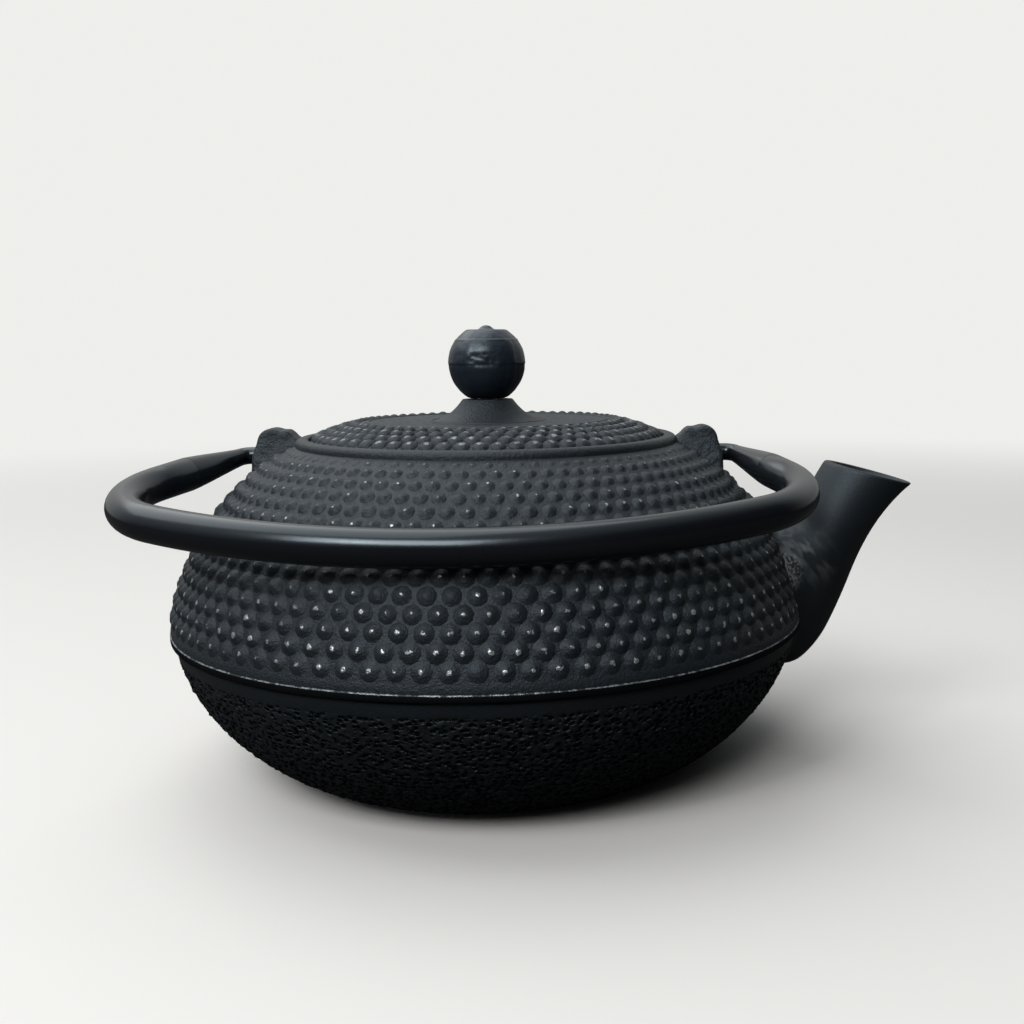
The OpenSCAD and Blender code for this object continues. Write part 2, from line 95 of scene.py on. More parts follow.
class TeapotSizes(bpy.types.PropertyGroup):
    """Sizes of the pieces, in metres."""

    ridge_radius: length("Ridge radius", "Radius over the ridge round the pot", POT_HIGH.y)
    ridge_height: length("Ridge height", "Height of the ridge's upper edge", 38.4 * MM)
    ridge_band: length("Ridge band", "Height of the ridge's upright band", 1.8 * MM)
    ridge_step: length("Ridge step", "How far the ridge stands out from the bowl", 1.0 * MM)
    foot_radius: length("Foot radius", "Radius of the flat foot", 43.0 * MM)
    wall: length("Wall", "Wall thickness of the casting", 3.2 * MM)
    collar_radius: length("Collar radius", "Outside radius of the collar", 48.4 * MM)
    collar_height: length("Collar height", "Height of the collar's top", 83.9 * MM)
    collar_rise: length("Collar rise", "How far the collar stands above the shoulder", 2.0 * MM)
    recess_radius: length("Recess radius", "Radius of the lid's recess", 45.2 * MM)
    mouth_radius: length("Mouth radius", "Radius of the mouth below the lid", 39.8 * MM)
    ledge_height: length("Ledge height", "Height of the ledge that the infuser hangs on", 81.0 * MM)
    nail_height: length("Hobnail height", "Height of the hobnails on the shoulder", 1.05 * MM)
    nail_radius: length("Hobnail radius", "Radius of a hobnail beside the ridge", 2.55 * MM)
    nail_gap: length("Hobnail row gap", "Distance from one row of hobnails to the next", 3.82 * MM)
    nail_start: length("First row", "Distance of the first row from the ridge", 4.5 * MM)
    nail_rows: count("Hobnail rows", "Full rows of hobnails on the shoulder", 13)
    nail_count: count("Hobnails per row", "Hobnails round the shoulder", 91)
    lid_nail_count: count("Lid hobnails per row", "Hobnails round the lid", 66)
    lid_nail_height: length("Lid hobnail height", "Height of the hobnails on the lid", 1.0 * MM)
    pit_size: length("Pit size", "Size of the pits in the bowl's skin", 1.9 * MM)
    pit_depth: length("Pit depth", "Depth of the pits in the bowl's skin", 0.35 * MM)
    ear_reach: length("Ear reach", "How far the ears stand out from the collar", 11.9 * MM)
    lid_seat: length("Lid seat", "Height of the lid's seat over the foot of its ring", 6.0 * MM)
    lid_edge: length("Lid edge", "Height of the lid's upright edge", 1.5 * MM)
    lid_rise: length("Lid rise", "How far the lid's middle stands above its edge", 4.1 * MM)
    lid_hole: length("Lid hole", "Radius of the rivet's hole in the lid", 2.55 * MM)
    field_radius: length("Lid field radius", "Radius of the flat middle of the lid", 31.0 * MM)
    flare_radius: length("Flare radius", "Radius at which the knob's boss starts", 14.0 * MM)
    boss_radius: length("Boss radius", "Radius of the knob's boss at its top", 6.6 * MM)
    bail_radius: length("Bail radius", "Outside radius of the bail's tube", 4.15 * MM)
    bail_wall: length("Bail wall", "Wall thickness of the bail's tube", 1.0 * MM)
    peg_radius: length("Peg radius", "Radius of the pegs at the bail's ends", 2.2 * MM)
    peg_gap: length("Peg gap", "Gap between an ear and the bail's elbow", 0.4 * MM)
    bail_left: length("Bail left side", "How far the bail's left side lies from the middle", 78.8 * MM)
    bail_right: length("Bail right side", "How far the bail's right side lies from the middle",
                       75.0 * MM)
    bail_front_bend: length("Front bend", "Bend radius of the bail's front", 123.0 * MM)
    bail_front_shift: length("Front shift", "How far the front bend's centre lies to the left",
                             3.8 * MM)
    bail_corner_bend: length("Corner bend", "Bend radius of the bail's corners", 24.0 * MM)
    bail_end_length: length("Bail end length", "Length of the bail's tapered ends", 20.0 * MM)
    mesh_pitch: length("Mesh pitch", "Distance between the infuser's wires", 1.6 * MM)
    wire: length("Wire", "Thickness of the infuser's wires", 0.4 * MM)


class TeapotColours(bpy.types.PropertyGroup):
    """Colours of the finishes and of the stage."""

    iron: colour("Iron", "Painted cast iron", (0.0066, 0.0084, 0.0108))
    sheen: colour("Sheen", "Cool tint of the paint's shine", (0.76, 0.91, 1.0))
    worn: colour("Worn tips", "Rubbed tips of the hobnails", (0.40, 0.42, 0.43))
    enamel: colour("Enamel", "Lining of the pot", (0.006, 0.006, 0.0065))
    bail: colour("Bail paint", "Satin paint on the bail", (0.0045, 0.0052, 0.0068))
    knob: colour("Knob paint", "Paint on the knob", (0.0075, 0.0115, 0.0180))
    steel: colour("Steel", "Stainless steel of the infuser", (0.60, 0.59, 0.57))
    floor: colour("Floor", "Pale floor", (0.67, 0.66, 0.64))
    backdrop: colour("Backdrop", "Pale backdrop behind the floor", (0.86, 0.86, 0.84))


# Outlines, as points (distance from the axis, height)

def corners(*pairs):
    """Outline points from their distances and heights."""
    return [Vector(pair) for pair in pairs]


def heading(degrees):
    """Unit direction at an angle above the first axis."""
    return Vector((math.cos(math.radians(degrees)), math.sin(math.radians(degrees))))


def cubic_point(a, b, c, d, t):
    """Point of a cubic curve at share t of its way."""
    return (1 - t) ** 3 * a + 3 * (1 - t) ** 2 * t * b + 3 * (1 - t) * t ** 2 * c + t ** 3 * d


def cubic(a, b, c, d, steps=60):
    """Points along a cubic curve."""
    return [cubic_point(a, b, c, d, i / steps) for i in range(steps + 1)]


def arc(centre, radius, start, end, steps):
    """Points along an arc."""
    centre = Vector(centre)
    return [centre + radius * heading(start + (end - start) * i / steps) for i in range(steps + 1)]


def along(points, distance):
    """Point and unit direction at a distance along an outline."""
    for a, b in zip(points, points[1:]):
        step = (b - a).length
        if distance <= step or b is points[-1]:
            return a + (b - a) * min(distance / step, 1), (b - a).normalized()
        distance -= step


def even(points, spacing):
    """The same outline with evenly spaced points."""
    total = sum((b - a).length for a, b in zip(points, points[1:]))
    steps = max(1, round(total / spacing))
    return [along(points, total * i / steps)[0] for i in range(steps)] + [points[-1]]


def inset(points, distance):
    """The outline moved to its left by a distance."""
    moved = []
    for i, point in enumerate(points):
        before = points[max(i - 1, 0)]
        after = points[min(i + 1, len(points) - 1)]
        way = (after - before).normalized()
        moved.append(point + distance * Vector((-way.y, way.x)))
    return moved


def bowl_outline(s):
    """Outside of the bowl, from the foot to the ridge's underside."""
    foot = Vector((s.foot_radius, 0))
    top = Vector((s.ridge_radius - s.ridge_step, s.ridge_height - s.ridge_band))
    return cubic(foot, foot + 0.39 * (top.x - foot.x) * heading(7),
                 top - 0.54 * top.y * heading(90 - 8.4), top)


def shoulder_outline(s):
    """Outside of the shoulder, from the ridge to the collar."""
    start = Vector((s.ridge_radius, s.ridge_height))
    end = Vector((s.collar_radius, s.collar_height - s.collar_rise))
    return cubic(start, start + 0.32 * (end.y - start.y) * heading(90 + 11),
                 end + 0.73 * (start.x - end.x) * heading(-25), end)


def lid_band_outline(s):
    """Top of the lid's hobnailed band, from its edge to the flat middle."""
    edge = Vector((LID_HIGH.x, LID_LOW.z + s.lid_seat + s.lid_edge))
    run = edge.x - s.field_radius
    return cubic(edge, *(edge + Vector((-inwards * run, upwards * s.lid_rise))
                         for inwards, upwards in ((0.27, 0.46), (0.64, 0.85), (1.0, 1.0))))


# Modelling steps

def deselect():
    """Leaves edit mode and selects nothing."""
    if bpy.context.mode != "OBJECT":
        bpy.ops.object.mode_set(mode="OBJECT")
    bpy.ops.object.select_all(action="DESELECT")


def pick(*objects):
    """Selects these objects alone and makes the first one active."""
    deselect()
    for obj in objects:
        obj.select_set(True)
    bpy.context.view_layer.objects.active = objects[0]
    return objects[0]


@contextlib.contextmanager
def editing(obj, select="DESELECT"):
    """Edit mode on one object, in vertex mode; with None its selection stays."""
    pick(obj)
    bpy.ops.object.mode_set(mode="EDIT")
    bpy.ops.mesh.select_mode(type="VERT")
    if select:
        bpy.ops.mesh.select_all(action=select)
    yield
    bpy.ops.object.mode_set(mode="OBJECT")


def settle(obj):
    """Moves the object's place, turn and scale into its mesh."""
    pick(obj)
    bpy.ops.object.transform_apply(location=True, rotation=True, scale=True)
    return obj


def added(operator, **settings):
    """The shape that an operator adds, settled at the origin."""
    deselect()
    operator(**settings)
    return settle(bpy.context.object)


def named(obj, name):
    """Gives an object and its mesh the same name."""
    obj.name = name
    obj.data.name = name
    return obj


def choose(obj, wanted):
    """Selects the wanted vertices, and nothing else."""
    pick(obj)
    for part in (*obj.data.polygons, *obj.data.edges):
        part.select = False
    for vertex in obj.data.vertices:
        vertex.select = wanted(vertex)


def modify(obj, kind, **settings):
    """Adds a modifier with its settings and applies it."""
    pick(obj)
    modifier = obj.modifiers.new(kind.lower(), kind)
    for key, value in settings.items():
        setattr(modifier, key, value)
    bpy.ops.object.modifier_apply(modifier=modifier.name)
    return obj


def extrude(step):
    """Draws the selection out by a step."""
    bpy.ops.mesh.extrude_region_move(TRANSFORM_OT_translate={"value": step})


def outward():
    """Turns all normals of the edited mesh outwards."""
    bpy.ops.mesh.select_all(action="SELECT")
    bpy.ops.mesh.normals_make_consistent(inside=False)


def draw(name, points):
    """A chain of edges through points in space, extruded from one vertex."""
    obj = named(added(bpy.ops.mesh.primitive_plane_add, size=MM, location=points[0]), name)
    with editing(obj, "SELECT"):
        bpy.ops.mesh.merge(type="CENTER")
        for before, after in zip(points, points[1:]):
            bpy.ops.mesh.extrude_vertices_move(TRANSFORM_OT_translate={"value": after - before})
    return obj


def spun(name, outline, steps, closed=True):
    """A round piece turned from its outline about the Z axis."""
    obj = draw(name, [Vector((point.x, 0, point.y)) for point in outline])
    modify(obj, "SCREW", angle=math.tau, steps=steps, render_steps=steps, axis="Z",
           use_merge_vertices=True, merge_threshold=WELD)
    with editing(obj, "SELECT"):
        bpy.ops.mesh.remove_doubles(threshold=WELD)
        if closed:
            outward()
    return obj


def group(obj, name, weight):
    """A vertex group whose weights follow from each vertex's place."""
    made = obj.vertex_groups.new(name=name)
    for vertex in obj.data.vertices:
        share = weight(vertex.co)
        if share > 0:
            made.add([vertex.index], min(share, 1.0), "REPLACE")
    return name


def store(obj, name, value):
    """Stores a number on each vertex, worked out from its place."""
    stored = obj.data.attributes.new(name, "FLOAT", "POINT").data
    for vertex in obj.data.vertices:
        stored[vertex.index].value = value(vertex.co)


def ramp(value, low, high):
    """0 below low, 1 above high, and smooth between."""
    t = min(max((value - low) / (high - low), 0), 1)
    return t * t * (3 - 2 * t)


def band(value, low, high, fade):
    """1 between low and high, and 0 outside, with soft ends."""
    return ramp(value, low, low + fade) * (1 - ramp(value, high - fade, high))


def radius_of(co):
    """Distance from the Z axis."""
    return math.hypot(co.x, co.y)


def displace(obj, texture, strength, mid_level, vertex_group=""):
    """Moves vertices along their normals by a texture."""
    return modify(obj, "DISPLACE", texture=texture, strength=strength, mid_level=mid_level,
                  vertex_group=vertex_group, texture_coords="LOCAL", direction="NORMAL")


def clouds(name, size, depth=2):
    """A soft cloud texture for displacement."""
    texture = bpy.data.textures.new(name, "CLOUDS")
    texture.noise_scale = size
    texture.noise_depth = depth
    return texture


def cut(obj, tool):
    """Cuts the tool's shape out of the object and deletes the tool."""
    modify(obj, "BOOLEAN", object=tool, operation="DIFFERENCE", solver="EXACT")
    bpy.data.objects.remove(tool)
    return obj


def finish(obj, degrees, body, materials, replaced=()):
    """Shades a piece smooth below an angle, gives it its materials and body, and hides the parts that
    it replaces.
    """
    pick(obj)
    bpy.ops.object.shade_smooth_by_angle(angle=math.radians(degrees))
    indices = [polygon.material_index for polygon in obj.data.polygons]
    obj.data.materials.clear()
    for material in materials:
        obj.data.materials.append(material)
    for polygon, index in zip(obj.data.polygons, indices):
        polygon.material_index = min(index, len(materials) - 1)
    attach(obj, body)
    if replaced:
        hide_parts(*replaced)


def cover(obj, index, wanted):
    """Gives a material to the faces whose centre and normal are wanted."""
    for polygon in obj.data.polygons:
        if wanted(polygon.center, polygon.normal):
            polygon.material_index = index


# Shader graphs

def arithmetic(operation, swapped=False):
    """A method that puts two values into a Math node."""
    def method(first, second):
        """One Math node from two values."""
        pair = (second, first) if swapped else (first, second)
        return first.graph.node("Math", dict(enumerate(pair)), operation=operation)
    return method


class Value:
    """A shader socket that plain arithmetic turns into Math nodes."""

    def __init__(self, graph, socket):
        self.graph = graph
        self.socket = socket

    __add__ = __radd__ = arithmetic("ADD")
    __sub__ = arithmetic("SUBTRACT")
    __rsub__ = arithmetic("SUBTRACT", swapped=True)
    __mul__ = __rmul__ = arithmetic("MULTIPLY")


class Graph:
    """The node tree of one material or of the world."""

    def __init__(self, owner):
        owner.use_nodes = True
        self.tree = owner.node_tree
        self.tree.nodes.clear()

    def node(self, kind, sockets=None, out=0, **settings):
        """Adds a node: its settings first, then its sockets' values or links."""
        made = self.tree.nodes.new("ShaderNode" + kind)
        for key, value in settings.items():
            setattr(made, key, value)
        for key, value in (sockets or {}).items():
            if isinstance(value, Value):
                self.tree.links.new(value.socket, made.inputs[key])
            else:
                made.inputs[key].default_value = value
        return Value(self, made.outputs[out])

    def place(self):
        """Object coordinates."""
        return self.node("TexCoord", out="Object")

    def stretched(self, scale, turn=0.0, kind="POINT"):
        """Object coordinates turned about Y and scaled, in the order of the kind."""
        return self.node("Mapping", {"Vector": self.place(), "Rotation": (0, turn, 0),
                                     "Scale": scale}, vector_type=kind)

    def noise(self, size, detail=2.0, where=None):
        """Noise from 0 to 1 with features of a size in metres."""
        return self.node("TexNoise", {"Vector": where or self.place(), "Scale": 1 / size,
                                      "Detail": detail})

    def soft_step(self, value, low, high):
        """0 below low, 1 above high and smooth between."""
        return self.node("MapRange", {"Value": value, "From Min": low, "From Max": high},
                         interpolation_type="SMOOTHSTEP")

    def stored(self, name):
        """A number stored on the mesh's vertices."""
        return self.node("Attribute", out="Fac", attribute_name=name)

    def axis(self, where, name):
        """One coordinate of a place."""
        return self.node("SeparateXYZ", {0: where}, name)

    def ray(self, kind):
        """1 for rays of a kind, such as Camera."""
        return self.node("LightPath", out=f"Is {kind} Ray")

    def mix(self, share, first, second):
        """Mix of two colours."""
        return self.node("Mix", {0: share, 6: first, 7: second}, 2, data_type="RGBA")

    def blend(self, share, first, second):
        """Mix of two shaders."""
        return self.node("MixShader", {0: share, 1: first, 2: second})

    def bump(self, height, depth):
        """Surface relief of a depth in metres."""
        return self.node("Bump", {"Height": height, "Distance": depth, "Strength": 1.0})

    def paint(self, **sockets):
        """A Principled shader, with sockets named by their words."""
        return self.node("BsdfPrincipled", {key.replace("_", " ").title().replace("Ior", "IOR"): value
                                            for key, value in sockets.items()})

    def surface(self, **sockets):
        """Ends the graph in one Principled shader."""
        self.output(self.paint(**sockets))

    def output(self, shader, kind="Material"):
        """Ends the graph in the output of a kind."""
        self.tree.links.new(shader.socket,
                            self.tree.nodes.new("ShaderNodeOutput" + kind).inputs["Surface"])


def rgba(values, factor=1.0):
    """A colour with its alpha, made lighter or darker by a factor."""
    return (*(value * factor for value in values), 1.0)


def new_graph(name):
    """A new material and its graph."""
    material = bpy.data.materials.new(name)
    return material, Graph(material)


def iron_material(name, c, grain=0.26 * MM, roughness=0.58, worn=0.0):
    """Painted cast iron: sandy grain, soft blotches, and paint rubbed off raised tips."""
    material, g = new_graph(name)
    blotch = g.noise(14 * MM, 3)
    speck = g.noise(0.9 * MM, 2)
    fine = g.noise(0.42 * MM, 4)
    shade = g.mix(blotch, rgba(c.iron, 0.78), rgba(c.iron, 1.24))
    shade = g.mix(g.soft_step(speck, 0.55, 0.78) * 0.5, shade, rgba(c.iron, 2.2))
    rough = roughness - 0.10 + 0.16 * fine + 0.06 * blotch
    normal = g.bump(fine * 0.7 + speck * 0.6, grain)
    metallic = 0.0
    if worn:
        rubbed = g.noise(5.5 * MM, 1)
        tip = g.soft_step(g.stored("tip") + 0.55 * (speck - 0.5) + 0.30 * (rubbed - 0.5), 0.88, 1.00)
        shade = g.mix(tip * worn, shade, rgba(c.worn))
        metallic = 0.75 * worn * tip
        rough = rough - 0.32 * tip
    g.surface(base_color=shade, metallic=metallic, roughness=rough, specular_tint=rgba(c.sheen),
              normal=normal)
    return material


def bowl_material(name, c, s):
    """Near-black iron, darker than the shoulder's as painted shade on the downward-facing bowl, with
    painted shade in its small pits, plain in a band under the ridge, and with painted shade on the
    ridge's upright band.
    """
    material, g = new_graph(name)
    fine = g.noise(0.5 * MM, 3)
    blotch = g.noise(12 * MM, 3)
    height = g.axis(g.place(), "Z")
    band_low = s.ridge_height - s.ridge_band
    top = band_low - 3.2 * MM
    plain = g.soft_step(height, top - 1 * MM, top)
    cells = g.node("TexVoronoi", {"Vector": g.stretched((1.0, 1.0, 1.35)),
                                  "Scale": 1 / (1.5 * MM), "Randomness": 0.8})
    flat = g.soft_step(cells + 0.25 * (fine - 0.5), 0.26, 0.60)
    flat = 1 - (1 - plain) * (1 - flat)
    # Tone darker than the shoulder's iron: painted shade on the downward-facing bowl.
    shade = g.mix(blotch, rgba(c.iron, 0.4), rgba(c.iron, 1.0))
    skin = g.paint(base_color=shade, roughness=0.46 + 0.14 * fine, specular_ior_level=0.5,
                   specular_tint=rgba(c.sheen), normal=g.bump(flat + 0.3 * fine, 0.32 * MM))
    # Near-black diffuse shader in the pits: painted shade in the hollows.
    painted_pit_shade = g.node("BsdfDiffuse", {"Color": rgba(c.iron, 0.08)})
    # Mostly the near-black shader on the ridge's upright band: painted shade under the ridge's edge.
    painted_ridge_shade = g.soft_step(height + 1.2 * MM * blotch, band_low, band_low + 0.5 * MM)
    g.output(g.blend((0.14 + 0.86 * flat) * (1 - 0.75 * painted_ridge_shade), painted_pit_shade, skin))
    return material


def spout_material(name, c):
    """Smoother skin with grinding marks that run out from the root."""
    material, g = new_graph(name)
    blotch = g.noise(11 * MM, 3)
    speck = g.noise(0.7 * MM, 2)
    scratch = g.noise(1.5 * MM, 1, g.stretched((4.5, 1.0, 1.0), math.radians(51), "TEXTURE"))
    rubbed = g.noise(0.8 * MM, 3)
    root = g.stored("root") * g.soft_step(g.noise(8 * MM, 1), 0.25, 0.60)
    bare = g.stored("rubbed") * g.soft_step(rubbed, 0.40, 0.62)
    shade = g.mix(blotch, rgba(c.iron, 0.85), rgba(c.iron, 1.3))
    shade = g.mix(root * g.soft_step(scratch, 0.40, 0.66) * 0.42, shade, rgba(c.worn, 0.5))
    shade = g.mix(bare * 0.9, shade, rgba(c.worn))
    relief = speck * 0.35 + root * scratch * 2.4 + bare * 0.4
    g.surface(base_color=shade, roughness=0.5 + 0.14 * speck - 0.10 * root,
              specular_tint=rgba(c.sheen), normal=g.bump(relief, 0.11 * MM))
    return material


def paint_material(name, c, tone, roughness, relief, size):
    """Satin paint with a faint orange peel."""
    material, g = new_graph(name)
    peel = g.noise(size, 2)
    blotch = g.noise(22 * MM, 2)
    shade = g.mix(blotch, rgba(tone, 0.85), rgba(tone, 1.2))
    g.surface(base_color=shade, roughness=roughness - 0.05 + 0.1 * blotch,
              specular_tint=rgba(c.sheen), normal=g.bump(peel, relief))
    return material


def enamel_material(name, c):
    """Black lining with a soft shine."""
    material, g = new_graph(name)
    peel = g.noise(2.5 * MM, 2)
    shade = g.mix(peel, rgba(c.enamel, 0.9), rgba(c.enamel, 1.3))
    g.surface(base_color=shade, roughness=0.24 + 0.12 * peel, normal=g.bump(peel, 0.05 * MM))
    return material


def steel_material(name, c, roughness=0.28, lengthways=0.04):
    """Brushed stainless steel with fine lines."""
    material, g = new_graph(name)
    lines = g.noise(0.35 * MM, 2, g.stretched((1.0, 1.0, lengthways)))
    shade = g.mix(lines, rgba(c.steel, 0.86), rgba(c.steel, 1.1))
    g.surface(base_color=shade, metallic=1.0, roughness=roughness + 0.14 * lines,
              normal=g.bump(lines, 0.012 * MM))
    return material


# Hobnails

NAIL_SIDES = 10
NAIL_PROFILE = ((1.06, -0.14), (0.90, 0.10), (0.68, 0.40), (0.44, 0.72), (0.18, 0.94))
LID_NAIL_PROFILE = ((1.0, -0.16), (0.91, 0.16), (0.73, 0.52), (0.47, 0.80), (0.20, 0.95))


def nail_model(profile):
    """One hobnail of unit radius and height: rings drawn up from a circle to a blunt tip."""
    obj = added(bpy.ops.mesh.primitive_circle_add, vertices=NAIL_SIDES, radius=1,
                fill_type="NGON", location=(0, 0, profile[0][1]))
    with editing(obj, "SELECT"):
        for (wide, low), (narrow, high) in zip(profile, profile[1:]):
            extrude((0, 0, high - low))
            bpy.ops.transform.resize(value=(narrow / wide, narrow / wide, 1))
        extrude((0, 0, 1 - profile[-1][1]))
        bpy.ops.mesh.merge(type="CENTER")
        outward()
    store(obj, "tip", lambda co: max(co.z, 0))
    return obj


def nail_places(outline, rows, count, clear):
    """Frames of the hobnails: rows are (distance along the outline, size, height)."""
    rng = random.Random(11)
    frames = []
    for row, (distance, size, height) in enumerate(rows):
        point, way = along(outline, distance)
        for i in range(count):
            turn = math.tau * (i + 0.5 * (row % 2)) / count + rng.uniform(-1, 1) * 0.0015
            out = Vector((math.cos(turn), math.sin(turn), 0))
            place = out * point.x + Vector((0, 0, point.y))
            wide = size * rng.uniform(0.94, 1.05)
            tall = height * rng.uniform(0.88, 1.03)
            spin = rng.uniform(0, math.tau)
            if clear(place):
                continue
            up = (out * way.y - Vector((0, 0, way.x))).normalized()
            if up.dot(out + Vector((0, 0, 1))) < 0:
                up.negate()
            side = Vector((0, 0, 1)).cross(out).normalized()
            axes = Matrix((side, up.cross(side), up)).transposed().to_4x4()
            frames.append(Matrix.Translation(place) @ axes @ Matrix.Rotation(spin, 4, "Z")
                          @ Matrix.Diagonal((wide, wide, tall, 1)))
    return frames


def copies(name, model, frames):
    """Copies of a model, each with its own mesh, joined as one piece."""
    made = []
    for matrix in frames:
        copy = model.copy()
        copy.data = model.data.copy()
        copy.data.transform(matrix)
        bpy.context.collection.objects.link(copy)
        made.append(copy)
    pick(*made)
    bpy.ops.object.join()
    bpy.data.objects.remove(model)
    return named(made[0], name)


# Spout: two curves give its underside and its upper side

SPOUT_SIDES = 56


class Spout:
    """Rings of the spout, worked out from its two curves."""

    mouth = 23.0 * MM
    tilt = 15
    reach = POT_HIGH.x
    drop = 13.3 * MM
    mouth_width = 20.5 * MM
    root_width = 34.0 * MM
    low_bends = (0.43, 25.6), (0.47, 40.7)
    high_bends = (0.14, 25), (0.20, 58)

    def __init__(self, s):
        self.low_lip = Vector((self.reach, s.collar_height - self.drop))
        self.high_lip = self.low_lip + self.mouth * heading(180 - self.tilt)
        self.low_root = Vector((s.ridge_radius - 2.2 * s.wall, s.ridge_height - 18.9 * MM))
        self.high_root = Vector((s.ridge_radius - 3 * s.wall, s.ridge_height + 15 * MM))
        self.run = (self.low_lip - self.low_root).length

    def curve(self, root, lip, bends, t):
        """Point at t of a curve whose bends are (share of the run, heading)."""
        (leaving, start), (arriving, end) = bends
        return cubic_point(root, root + leaving * self.run * heading(start),
                           lip - arriving * self.run * heading(end), lip, t)

    def low(self, t):
        """Point of the underside."""
        return self.curve(self.low_root, self.low_lip, self.low_bends, t)

    def high(self, t):
        """Point of the upper side."""
        return self.curve(self.high_root, self.high_lip, self.high_bends, t)

    def half_width(self, t):
        """Half the width, narrowing from the root to the mouth."""
        narrowing = math.sin(math.radians(90) * t ** 0.8)
        return (self.root_width + (self.mouth_width - self.root_width) * narrowing) / 2

    def ring(self, t, thinner=0.0, lift=0.0):
        """(middle, half height, half width, slant) of the ring at t."""
        low, high = self.low(t), self.high(t)
        middle, half_height, half_width, slant = self.between(low, high, self.half_width(t))
        outwards = Vector((high.y - low.y, low.x - high.x)).normalized()
        return middle + lift * outwards, half_height - thinner, half_width - thinner, slant

    @staticmethod
    def between(low, high, half_width):
        """The ring that stands between two points of the middle plane."""
        across = high - low
        return (low + high) / 2, across.length / 2, half_width, math.atan2(across.x, across.y)


def off_skin(skin, z, distance):
    """Point at a height, a distance outside the pot's skin."""
    for a, b in zip(skin, skin[1:]):
        if a.y <= z <= b.y and b.y > a.y:
            way = (b - a).normalized()
            return a + (b - a) * (z - a.y) / (b.y - a.y) + distance * Vector((way.y, -way.x))


def turn_about_y(turn, centre):
    """Turns the selection from +Z towards +X by an angle."""
    bpy.ops.transform.rotate(value=-turn, orient_axis="Y", center_override=centre)


def reshape_ring(before, after):
    """Turns and scales the selected ring, which is at its new middle already."""
    old_height, old_width, old_slant = before[1:]
    middle, height, width, slant = after
    centre = (middle.x, 0, middle.y)
    turn_about_y(-old_slant, centre)
    bpy.ops.transform.resize(value=(1, width / old_width, height / old_height),
                             center_override=centre)
    turn_about_y(slant, centre)


def tube(name, rings, sides):
    """A tube drawn through rings, starting from a circle."""
    middle = rings[0][0]
    obj = added(bpy.ops.mesh.primitive_circle_add, vertices=sides, radius=1, fill_type="NOTHING",
                location=(middle.x, 0, middle.y), rotation=(0, math.radians(90), 0))
    with editing(obj, "SELECT"):
        reshape_ring((middle, 1, 1, 0), rings[0])
        for before, after in zip(rings, rings[1:]):
            step = after[0] - before[0]
            extrude((step.x, 0, step.y))
            reshape_ring(before, after)
    return named(obj, name)


# Operators, one for each piece or group of like pieces

LINING, RIDGE = 1, 2


class PieceOperator:
    """What every piece's operator shares."""

    bl_options = {"REGISTER", "UNDO"}

    def execute(self, context):
        self.build(context.scene.teapot_sizes, context.scene.teapot_colours)
        return {"FINISHED"}


class TEAPOT_OT_bowl(PieceOperator, bpy.types.Operator):
    """Model the lower half of the casting with its pitted skin"""

    bl_idname = "teapot.bowl"
    bl_label = "Bowl"

    def build(self, s, c):
        skin_step, lining_step, limit_step = 0.58 * MM, 4 * MM, 2 * MM
        foot_edge, plain_band, fade = 0.3 * MM, 2.8 * MM, 1.2 * MM
        outside = even(bowl_outline(s), skin_step)
        inside = even(inset(bowl_outline(s), s.wall), lining_step)
        inside[-1] = Vector((outside[-1].x - s.wall, outside[-1].y))
        inside[0] = Vector((inside[0].x, s.wall))
        outline = [Vector((0, 0)), *outside, *reversed(inside), Vector((0, s.wall))]
        obj = spun("pot_bowl", outline, 800)
        skin = even(bowl_outline(s), limit_step)

        def pitted(co):
            """1 on the bowl's outer skin, apart from its plain ends."""
            limit = next((p.x for p in skin if p.y >= co.z), skin[-1].x) - 0.6 * s.wall
            if radius_of(co) < limit:
                return 0
            return band(co.z, foot_edge, s.ridge_height - s.ridge_band - plain_band, fade)

        pits = bpy.data.textures.new("pits", "VORONOI")
        pits.noise_scale = 0.5 * s.pit_size
        pits.noise_intensity = 1.35
        pits.contrast = 1.7
        displace(obj, pits, s.pit_depth, 1.0, group(obj, "pitted", pitted))
        cut(obj, spout_bore(s))
        cover(obj, LINING, lambda at, normal: normal.dot(Vector((at.x, at.y, -0.02))) < 0)
        finish(obj, 50, "pot",
               [bowl_material("bowl_iron", c, s), enamel_material("lining", c)], ["pot_body"])


